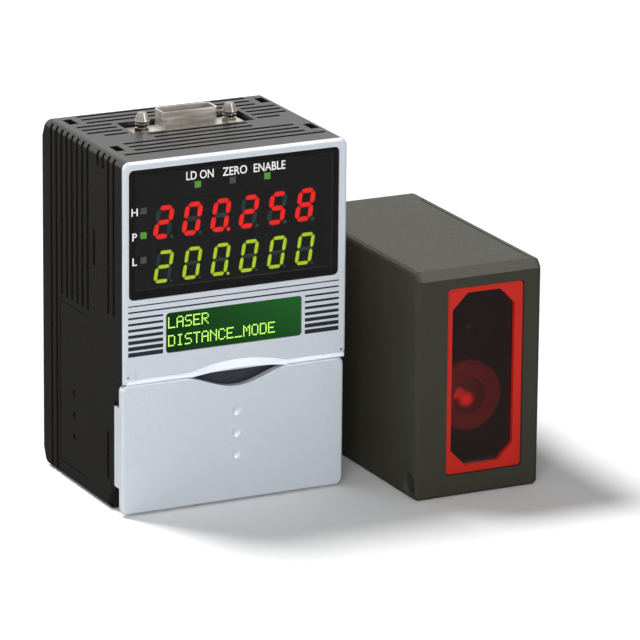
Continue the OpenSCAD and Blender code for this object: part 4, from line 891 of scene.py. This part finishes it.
@dataclass
class Word:
    """One printed word that faces the front: its text, middle, cap height, width and thickness of ink.

    Bold is how far the font's outline is set out, in the font's own units.
    """

    text: str
    x: float
    z: float
    height: float
    width: float | None = None
    ink: float = 0.02
    bold: float = 0.01

    def font_mesh(self) -> tuple[np.ndarray, np.ndarray]:
        """Points and triangles of the word in the built-in font, in the font's own plane and units.

        Returns:
            The points and the triangles.
        """
        curve = bpy.data.curves.new("word", "FONT")
        curve.body = self.text
        curve.extrude = 0.5
        curve.offset = self.bold
        curve.resolution_u = 4
        holder = bpy.data.objects.new("word", curve)
        bpy.context.scene.collection.objects.link(holder)
        shape = holder.evaluated_get(bpy.context.evaluated_depsgraph_get())
        mesh = shape.to_mesh()
        mesh.calc_loop_triangles()
        points = np.empty(len(mesh.vertices) * 3)
        mesh.vertices.foreach_get("co", points)
        faces = np.empty(len(mesh.loop_triangles) * 3, dtype=np.int32)
        mesh.loop_triangles.foreach_get("vertices", faces)
        shape.to_mesh_clear()
        bpy.data.objects.remove(holder)
        bpy.data.curves.remove(curve)
        return points.reshape(-1, 3), faces.reshape(-1, 3)

    def patch(self, face_y: float) -> Patch:
        """Triangles of the word, standing on a face that looks along -y.

        The font's plane is turned into x and z, scaled to the cap height and, where a width is given, stretched
        to it, then centred on the word's middle.

        Args:
            face_y: Where the printed face lies.

        Returns:
            The word's triangles.
        """
        flat, faces = self.font_mesh()
        low, high = flat.min(axis=0), flat.max(axis=0)
        tall = self.height / (high[1] - low[1])
        wide = tall if self.width is None else self.width / (high[0] - low[0])
        mid = (low + high) / 2.0
        points = np.stack(
            [
                self.x + (flat[:, 0] - mid[0]) * wide,
                face_y - self.ink * (flat[:, 2] - low[2]) / (high[2] - low[2]),
                self.z + (flat[:, 1] - mid[1]) * tall,
            ],
            axis=1,
        )
        return Patch(points, faces)


@dataclass
class Assembly:
    """A sub-assembly: the finishes that its CAD nodes wear and the pieces that it adds to them."""

    def wears(self) -> dict[str, tuple[str, ...]]:
        """Finish name to the CAD nodes that wear it."""
        return {}

    def dress(self, wardrobe: Wardrobe, nodes: dict[str, bpy.types.Object]) -> None:
        """Gives the sub-assembly's CAD nodes their finishes.

        Args:
            wardrobe: Where the materials come from.
            nodes: Node name to its object, as the frame gives them.
        """
        for finish, wearers in self.wears().items():
            for name in wearers:
                mesh = nodes[name].data
                mesh.materials.clear()
                mesh.materials.append(wardrobe.get(finish))
                LOG.info("node %s wears %s", name, finish)

    def build(self, wardrobe: Wardrobe) -> None:
        """Adds nothing: a sub-assembly with pieces of its own says so itself."""


@dataclass
class ControllerCase(Assembly):
    """Ribbed case with its rear cover, rail latch, port covers and sockets."""

    def wears(self) -> dict[str, tuple[str, ...]]:
        """Says what the case and its fittings are made of.

        Returns:
            Finish name to the CAD nodes that wear it.
        """
        return {
            "case": ("main_case", "rear_cover", "port_cover_left", "port_cover_right", "cable_bush"),
            "latch": ("din_latch",),
            "zinc": ("rear_screws",),
            "link": ("link_socket_left", "link_socket_right"),
            "insulator": ("head_socket",),
        }


# Five by seven dots of each character, one number a row, its five low bits from left to right
GLYPHS: dict[str, tuple[int, ...]] = {
    "A": (14, 17, 17, 31, 17, 17, 17),
    "C": (14, 17, 16, 16, 16, 17, 14),
    "D": (30, 17, 17, 17, 17, 17, 30),
    "E": (31, 16, 16, 30, 16, 16, 31),
    "I": (14, 4, 4, 4, 4, 4, 14),
    "L": (16, 16, 16, 16, 16, 16, 31),
    "M": (17, 27, 21, 21, 17, 17, 17),
    "N": (17, 25, 21, 19, 17, 17, 17),
    "O": (14, 17, 17, 17, 17, 17, 14),
    "R": (30, 17, 17, 30, 20, 18, 17),
    "S": (15, 16, 16, 14, 1, 1, 30),
    "T": (31, 4, 4, 4, 4, 4, 4),
    "_": (0, 0, 0, 0, 0, 0, 31),
}
GLYPH_COLUMNS = 5


@dataclass
class ReadoutFront(Assembly):
    """Silver bezel with the smoked window, readouts, lamps and character display behind it.

    Adds the white words on the window and the lit dots of the character display. Letters drop from the window's
    top, lines of dots from the display's, and the display's glow runs past its left and right end.
    """

    lamp_words: tuple[tuple[str, float], ...] = (("LD ON", 7.3), ("ZERO", 6.6), ("ENABLE", 8.55))
    lamp_letters: str = "HPL"
    lamp_pitch: float = 9.35
    over_lamps: float = 1.95
    left_of_lamps: float = 2.1
    first_drop: float = 10.4
    letter_pitch: float = 6.2
    cap: float = 2.15
    letter_cap: float = 1.95
    lines: tuple[str, str] = ("LASER", "DISTANCE_MODE")
    line_tops: tuple[float, float] = (1.0, 5.6)
    from_left: float = 0.6
    character_pitch: float = 2.25
    dot_x: float = 0.39
    dot_z: float = 0.42
    dot_fill: float = 0.76
    dot_rise: float = 0.03
    glow_past_left: float = 0.9
    glow_past_right: float = 1.5

    def wears(self) -> dict[str, tuple[str, ...]]:
        """Says what the front's pieces are made of.

        Returns:
            Finish name to the CAD nodes that wear it.
        """
        return {
            "silver": ("front_bezel",),
            "ink": ("bezel_stripes",),
            "window": ("display_window",),
            "mask": ("display_mask",),
            "readout": ("display_module",),
            "red_light": ("red_segments",),
            "green_light": ("green_segments",),
            "dark_light": ("unlit_segments",),
            "lamp_on": ("lit_lamps",),
            "lamp_off": ("unlit_lamps",),
            "lcd": ("lcd_module",),
        }

    def dress(self, wardrobe: Wardrobe, nodes: dict[str, bpy.types.Object]) -> None:
        """Spreads the backlight over the character display, then dresses the front's nodes.

        Args:
            wardrobe: Where the materials come from.
            nodes: Node name to its object, as the frame gives them.
        """
        low, high = corners("lcd_module")
        wardrobe.tailor(
            "lcd",
            from_x=low[0] - self.glow_past_left,
            to_x=high[0] + self.glow_past_right,
            from_z=low[2],
            to_z=high[2],
        )
        super().dress(wardrobe, nodes)

    def legends(self) -> Patch:
        """Words over the row of lamps, a lamp's pitch apart, and letters left of the column of lamps.

        Returns:
            The words' triangles on the window's face.
        """
        low, high = corners("display_window")
        lamps_low, lamps_high = corners("unlit_lamps")
        mid = (low[0] + high[0]) / 2.0
        row = lamps_high[2] + self.over_lamps
        words = [
            Word(text, mid + place * self.lamp_pitch, row, self.cap, width)
            for place, (text, width) in enumerate(self.lamp_words, start=-1)
        ]
        column = lamps_low[0] - self.left_of_lamps
        words += [
            Word(letter, column, high[2] - self.first_drop - self.letter_pitch * i, self.letter_cap)
            for i, letter in enumerate(self.lamp_letters)
        ]
        return Patch.join([w.patch(low[1]) for w in words])

    def characters(self) -> Patch:
        """Lit dots of two lines of text: each is a thin box at its column and row of the character grid.

        Returns:
            The dots on the display's face.
        """
        low, high = corners("lcd_module")
        dots = []
        for text, top in zip(self.lines, self.line_tops):
            rows = np.array([GLYPHS[c] for c in text])
            lit = (rows[:, :, None] >> (GLYPH_COLUMNS - 1 - np.arange(GLYPH_COLUMNS))) & 1
            place, row, column = np.nonzero(lit)
            x = low[0] + self.from_left + place * self.character_pitch + column * self.dot_x
            z = high[2] - top - (row + 1) * self.dot_z
            dots.append(np.stack([x, np.full(len(x), low[1] - self.dot_rise), z], axis=1))
        corner = np.concatenate(dots)
        size = np.array([self.dot_x * self.dot_fill, self.dot_rise, self.dot_z * self.dot_fill])
        return Patch.boxes(corner, corner + size)

    def build(self, wardrobe: Wardrobe) -> None:
        """Adds the window's words and the display's characters."""
        self.legends().piece("window_legends", wardrobe.get("print_white"), Body.SET)
        self.characters().piece("display_characters", wardrobe.get("pixel"), Body.SET)


@dataclass
class KeyField(Assembly):
    """Flap, and under it the panel with six keys, two slide switches and the service socket.

    Adds the keys' legends, which ride with their keys, and the marks over the switches. The steps are the
    switches' travel between two marks, and a switch's knob stands out from the panel by knob_stands.
    """

    arrow: float = 1.5
    cap: float = 1.5
    ink: float = 0.02
    knob_stands: float = 0.9
    marks_over: float = 0.6
    mode_step: float = 2.2
    range_step: float = 4.4

    def wears(self) -> dict[str, tuple[str, ...]]:
        """Says what the flap, the panel and its controls are made of.

        Returns:
            Finish name to the CAD nodes that wear it.
        """
        return {
            "silver": ("key_flap",),
            "panel": ("key_panel",),
            "key": ("key_up", "key_down", "key_left", "key_right", "key_set", "key_escape"),
            "knob": ("mode_switch", "range_switch"),
            "nickel": ("service_socket",),
        }

    def arrow_patch(self, x: float, y: float, z: float, turn_degrees: float) -> Patch:
        """Flat triangle with the thickness of ink: its corners are a third of a turn apart on a circle.

        Args:
            x: Middle of the key.
            y: Face of the key.
            z: Middle of the key.
            turn_degrees: Way the arrow points, 0 to the right and 90 up.

        Returns:
            A closed prism of triangles.
        """
        angle = np.radians(turn_degrees + np.array([0.0, 120.0, 240.0]))
        ring = np.stack(
            [x + self.arrow * np.cos(angle), np.full(3, y), z + self.arrow * np.sin(angle)], axis=1
        )
        points = np.concatenate([ring, ring - [0.0, self.ink, 0.0]])
        faces = np.array(
            [[1, 2, 0], [5, 4, 3], [4, 1, 0], [3, 4, 0], [5, 2, 1], [4, 5, 1], [3, 0, 2], [5, 3, 2]]
        )
        return Patch(points, faces)

    def switch_marks(self) -> Patch:
        """Numbers over the mode switch and letters over the range switch, one at each of their places.

        Returns:
            The marks' triangles on the panel's face.
        """
        mode_low, mode_high = corners("mode_switch")
        range_low, range_high = corners("range_switch")
        row = mode_high[2] + self.marks_over
        mode_x, range_x = (mode_low[0] + mode_high[0]) / 2.0, (range_low[0] + range_high[0]) / 2.0
        marks = [
            Word(text, mode_x + self.mode_step * i, row, self.cap) for i, text in enumerate("123", start=-1)
        ]
        marks += [Word(text, range_x + self.range_step * i, row, self.cap) for i, text in enumerate("LH")]
        return Patch.join([m.patch(mode_low[1] + self.knob_stands) for m in marks])

    def build(self, wardrobe: Wardrobe) -> None:
        """Prints each key's legend and the switches' marks.

        Args:
            wardrobe: Where the materials come from.
        """
        ink = wardrobe.get("print_dark")
        for node, body, turn in (
            ("key_up", Body.UP, 90.0),
            ("key_down", Body.DOWN, 270.0),
            ("key_left", Body.LEFT, 180.0),
            ("key_right", Body.RIGHT, 0.0),
        ):
            low, high = corners(node)
            mid = (low + high) / 2.0
            self.arrow_patch(mid[0], low[1], mid[2], turn).piece(node + "_legend", ink, body)
        for node, body, text in (("key_set", Body.ENTER, "SET"), ("key_escape", Body.ESCAPE, "ESC")):
            low, high = corners(node)
            mid = (low + high) / 2.0
            Word(text, mid[0], mid[2], self.cap).patch(low[1]).piece(node + "_legend", ink, body)
        self.switch_marks().piece("switch_numbers", wardrobe.get("print_white"), Body.SET)


@dataclass
class TopConnector(Assembly):
    """Shielded connector on top of the case with its two lock posts.

    Adds two facing rows of contacts in its slot, each row_half from the slot's middle. Below is how far under the
    block's top a contact starts.
    """

    count: int = 9
    pitch: float = 1.1
    width: float = 0.45
    depth: float = 0.25
    row_half: float = 0.42
    below: float = 2.6
    length: float = 2.3

    def wears(self) -> dict[str, tuple[str, ...]]:
        """Says what the connector is made of.

        Returns:
            Finish name to the CAD nodes that wear it.
        """
        return {
            "nickel": ("connector_shell",),
            "chrome": ("lock_posts",),
            "insulator": ("connector_block",),
        }

    def build(self, wardrobe: Wardrobe) -> None:
        """Adds the contacts: thin upright boxes a pitch apart, either side of the slot's middle.

        Args:
            wardrobe: Where the materials come from.
        """
        low, high = corners("connector_shell")
        foot = corners("connector_block")[1][2] - self.below
        mid = (low + high) / 2.0
        along = mid[0] + (np.arange(self.count) - (self.count - 1) / 2.0) * self.pitch
        across = mid[1] + np.array([-1.0, 1.0]) * self.row_half
        x, y = (a.ravel() for a in np.meshgrid(along, across))
        corner = np.stack([x - self.width / 2.0, y - self.depth / 2.0, np.full(len(x), foot)], axis=1)
        blades = Patch.boxes(corner, corner + [self.width, self.depth, self.length])
        blades.piece("connector_contacts", wardrobe.get("gold"), Body.SET)


@dataclass
class Boards(Assembly):
    """Circuit boards inside the controller and what stands on them."""

    def wears(self) -> dict[str, tuple[str, ...]]:
        """Says what the boards and their components are made of.

        Returns:
            Finish name to the CAD nodes that wear it.
        """
        return {
            "board": ("display_board", "key_board", "main_board", "power_board"),
            "insulator": ("processor", "key_contacts"),
            "ferrite": ("power_coil",),
            "sleeve": ("capacitors",),
        }


@dataclass
class MeasuringHead(Assembly):
    """Painted housing with its side cover, red-framed window, laser, receiver and boards."""

    def wears(self) -> dict[str, tuple[str, ...]]:
        """Says what the head and its optics are made of.

        Returns:
            Finish name to the CAD nodes that wear it.
        """
        return {
            "casting": ("head_housing", "head_side_cover"),
            "case": ("head_gland",),
            "zinc": ("side_screws",),
            "rubber": ("side_seal",),
            "red": ("window_frame",),
            "pane": ("window_pane",),
            "optics": ("optics_base", "laser_barrel"),
            "barrel": ("receiver_barrel",),
            "lens": ("receiver_lens",),
            "laser": ("laser_lens",),
            "gold": ("laser_diode",),
            "insulator": ("image_sensor",),
            "board": ("sensor_board", "head_board"),
        }

    def dress(self, wardrobe: Wardrobe, nodes: dict[str, bpy.types.Object]) -> None:
        """Centres the optical finishes on their pieces' axes, then dresses the head's nodes.

        Args:
            wardrobe: Where the materials come from.
            nodes: Node name to its object, as the frame gives them.
        """
        for finish, node in (
            ("barrel", "receiver_barrel"),
            ("lens", "receiver_lens"),
            ("laser", "laser_lens"),
        ):
            low, high = corners(node)
            mid = (low + high) / 2.0
            wardrobe.tailor(finish, axis_x=mid[0], axis_z=mid[2])
        super().dress(wardrobe, nodes)


class LampKind(Enum):
    """What a lamp does in the picture."""

    SOFTBOX = "softbox"
    CARD = "card"


@dataclass(frozen=True)
class Lamp:
    """One soft white studio lamp: where it hangs and looks, in millimetres, its size and its power in watts.

    A softbox gives the even light and no glare; a card is seen only in gloss, as the bright line on an edge.
    """

    name: str
    place: tuple[float, float, float]
    aim: tuple[float, float, float]
    size: float
    power: float
    kind: LampKind = LampKind.SOFTBOX

    def hang(self) -> None:
        """Adds the area lamp to the scene."""
        data = bpy.data.lights.new(self.name, "AREA")
        data.shape = "DISK"
        data.size = self.size * MM
        data.energy = self.power
        lamp = bpy.data.objects.new(self.name, data)
        lamp.location = Vector(self.place) * MM
        lamp.rotation_mode = "QUATERNION"
        lamp.rotation_quaternion = (Vector(self.aim) - Vector(self.place)).to_track_quat("-Z", "Y")
        lamp.visible_diffuse = self.kind is LampKind.SOFTBOX
        lamp.visible_glossy = self.kind is LampKind.CARD
        lamp.visible_transmission = False
        bpy.context.scene.collection.objects.link(lamp)


@dataclass
class Studio:
    """White studio: floor, world, lamps and the camera at the photograph's viewing angle.

    Angles are in degrees, and sight is how far the camera looks. Sky is the world's light on the set. The floor's
    own white starts with lift near the set and is full from the distance far on, and beyond times as far out for
    gloss and glass.
    """

    azimuth: float = 26.5155
    elevation: float = 16.7156
    roll: float = 0.5429
    eye: tuple[float, float, float] = (-575.753, -1172.502, 431.964)
    lens: float = 307.7
    sensor: float = 36.0
    sight: float = 50000.0
    white: str = "#ffffff"
    floor_colour: str = "#f4f4f4"
    floor_in_gloss: str = "#383838"
    floor_half: float = 6000.0
    sky: float = 0.24
    lift: float = 0.03
    near: float = 200.0
    far: float = 700.0
    beyond: float = 3.0
    lamps: tuple[Lamp, ...] = (
        Lamp(
            "key_softbox",
            place=(-260.0, 400.0, 1000.0),
            aim=(0.0, 0.0, 40.0),
            size=300.0,
            power=12.0,
        ),
        Lamp(
            "front_fill",
            place=(-650.0, -1030.0, 330.0),
            aim=(0.0, -20.0, 40.0),
            size=700.0,
            power=9.0,
        ),
        Lamp(
            "overhead_card",
            place=(410.0, -310.0, 860.0),
            aim=(0.0, -20.0, 60.0),
            size=420.0,
            power=4.5,
            kind=LampKind.CARD,
        ),
        Lamp(
            "front_card",
            place=(490.0, -920.0, 500.0),
            aim=(0.0, -20.0, 40.0),
            size=500.0,
            power=1.8,
            kind=LampKind.CARD,
        ),
    )

    def camera(self) -> None:
        """Camera whose axes come from azimuth, elevation and roll, as the fit to the photograph gave them."""
        az, el, roll = (math.radians(a) for a in (self.azimuth, self.elevation, self.roll))
        ahead = Vector((math.sin(az) * math.cos(el), math.cos(az) * math.cos(el), -math.sin(el)))
        level = Vector((math.cos(az), -math.sin(az), 0.0))
        rise = level.cross(ahead)
        right = math.cos(roll) * level + math.sin(roll) * rise
        up = right.cross(ahead)
        data = bpy.data.cameras.new("photo_camera")
        data.lens = self.lens
        data.sensor_width = self.sensor
        data.clip_end = self.sight * MM
        made = bpy.data.objects.new("photo_camera", data)
        turn = Matrix((right, up, -ahead)).transposed().to_4x4()
        made.matrix_world = Matrix.Translation(Vector(self.eye) * MM) @ turn
        bpy.context.scene.collection.objects.link(made)
        bpy.context.scene.camera = made

    @staticmethod
    def seen(tree: Tree, rays: Node) -> Socket:
        """Socket that is 1 for the rays that look at the background, straight or through gloss or glass.

        Args:
            tree: Node tree of the floor or the world.
            rays: Its Light Path node.

        Returns:
            The socket.
        """
        total = rays.outputs["Is Camera Ray"]
        for kind in ("Is Glossy Ray", "Is Transmission Ray"):
            links = {0: total, 1: rays.outputs[kind]}
            total = add_node(tree, "ShaderNodeMath", links, operation="MAXIMUM").outputs[0]
        return total

    def world(self) -> None:
        """White where the camera, gloss and glass look, and a softer sky for the light on the set."""
        made = bpy.data.worlds.new("studio")
        made.use_nodes = True
        tree = made.node_tree
        tree.nodes.clear()
        rays = add_node(tree, "ShaderNodeLightPath")
        strength = add_node(
            tree, "ShaderNodeMapRange", {"Value": self.seen(tree, rays)}, {"To Min": self.sky, "To Max": 1.0}
        )
        sky = add_node(
            tree, "ShaderNodeBackground", {"Strength": strength.outputs["Result"]}, {"Color": linear(self.white)}
        )
        add_node(tree, "ShaderNodeOutputWorld", {"Surface": sky.outputs["Background"]})
        bpy.context.scene.world = made

    def floor_material(self) -> Material:
        """Pale matt floor that keeps the shadow near the set, reads white further out and is dim in gloss.

        Returns:
            The floor's material.
        """
        made = bpy.data.materials.new("pale_floor")
        made.use_nodes = True
        tree = made.node_tree
        tree.nodes.clear()
        rays = add_node(tree, "ShaderNodeLightPath")
        place = add_node(tree, "ShaderNodeTexCoord").outputs["Object"]
        away = add_node(tree, "ShaderNodeVectorMath", {0: place}, operation="LENGTH")
        share = add_node(
            tree,
            "ShaderNodeMapRange",
            {"Value": rays.outputs["Is Camera Ray"]},
            {"To Min": self.beyond, "To Max": 1.0},
        )
        reach = add_node(
            tree, "ShaderNodeMath", {0: away.outputs["Value"], 1: share.outputs["Result"]}, operation="DIVIDE"
        )
        lift = add_node(
            tree,
            "ShaderNodeMapRange",
            {"Value": reach.outputs[0]},
            {"From Min": self.near * MM, "From Max": self.far * MM, "To Min": self.lift, "To Max": 1.0},
            interpolation_type="SMOOTHSTEP",
        )
        shown = add_node(
            tree,
            "ShaderNodeMath",
            {0: lift.outputs["Result"], 1: self.seen(tree, rays)},
            operation="MULTIPLY",
        )
        tone = add_node(
            tree,
            "ShaderNodeMix",
            {0: rays.outputs["Is Glossy Ray"]},
            {MIX_A: linear(self.floor_colour), MIX_B: linear(self.floor_in_gloss)},
            data_type="RGBA",
        )
        matt = add_node(
            tree,
            "ShaderNodeBsdfPrincipled",
            {"Emission Strength": shown.outputs[0], "Base Color": tone.outputs[MIX_COLOUR]},
            {"Roughness": 0.9, "Specular IOR Level": 0.0, "Emission Color": linear(self.white)},
        )
        add_node(tree, "ShaderNodeOutputMaterial", {"Surface": matt.outputs["BSDF"]})
        return made

    def floor(self) -> None:
        """Lays the floor, one square around the set."""
        half = self.floor_half * MM
        mesh = bpy.data.meshes.new("studio_floor")
        square = [(-half, -half, 0), (half, -half, 0), (half, half, 0), (-half, half, 0)]
        mesh.from_pydata(square, [], [(0, 1, 2, 3)])
        mesh.materials.append(self.floor_material())
        plane = bpy.data.objects.new("studio_floor", mesh)
        bpy.context.scene.collection.objects.link(plane)

    def build(self) -> None:
        """Sets up camera, world, floor and lamps, with plain colour management."""
        self.camera()
        self.world()
        self.floor()
        for lamp in self.lamps:
            lamp.hang()
        bpy.context.scene.view_settings.view_transform = "Standard"


def main() -> None:
    """Loads the frame, dresses it, sets up the studio and adds the pieces."""
    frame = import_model()
    wardrobe = Wardrobe()
    assemblies: tuple[Assembly, ...] = (
        ControllerCase(),
        ReadoutFront(),
        KeyField(),
        TopConnector(),
        Boards(),
        MeasuringHead(),
    )
    for assembly in assemblies:
        assembly.dress(wardrobe, frame["nodes"])
    Studio().build()
    for assembly in assemblies:
        assembly.build(wardrobe)
        LOG.info("built %s", type(assembly).__name__)


if __name__ == "__main__":
    logging.basicConfig(level=logging.INFO, format="%(name)s: %(message)s")
    main()
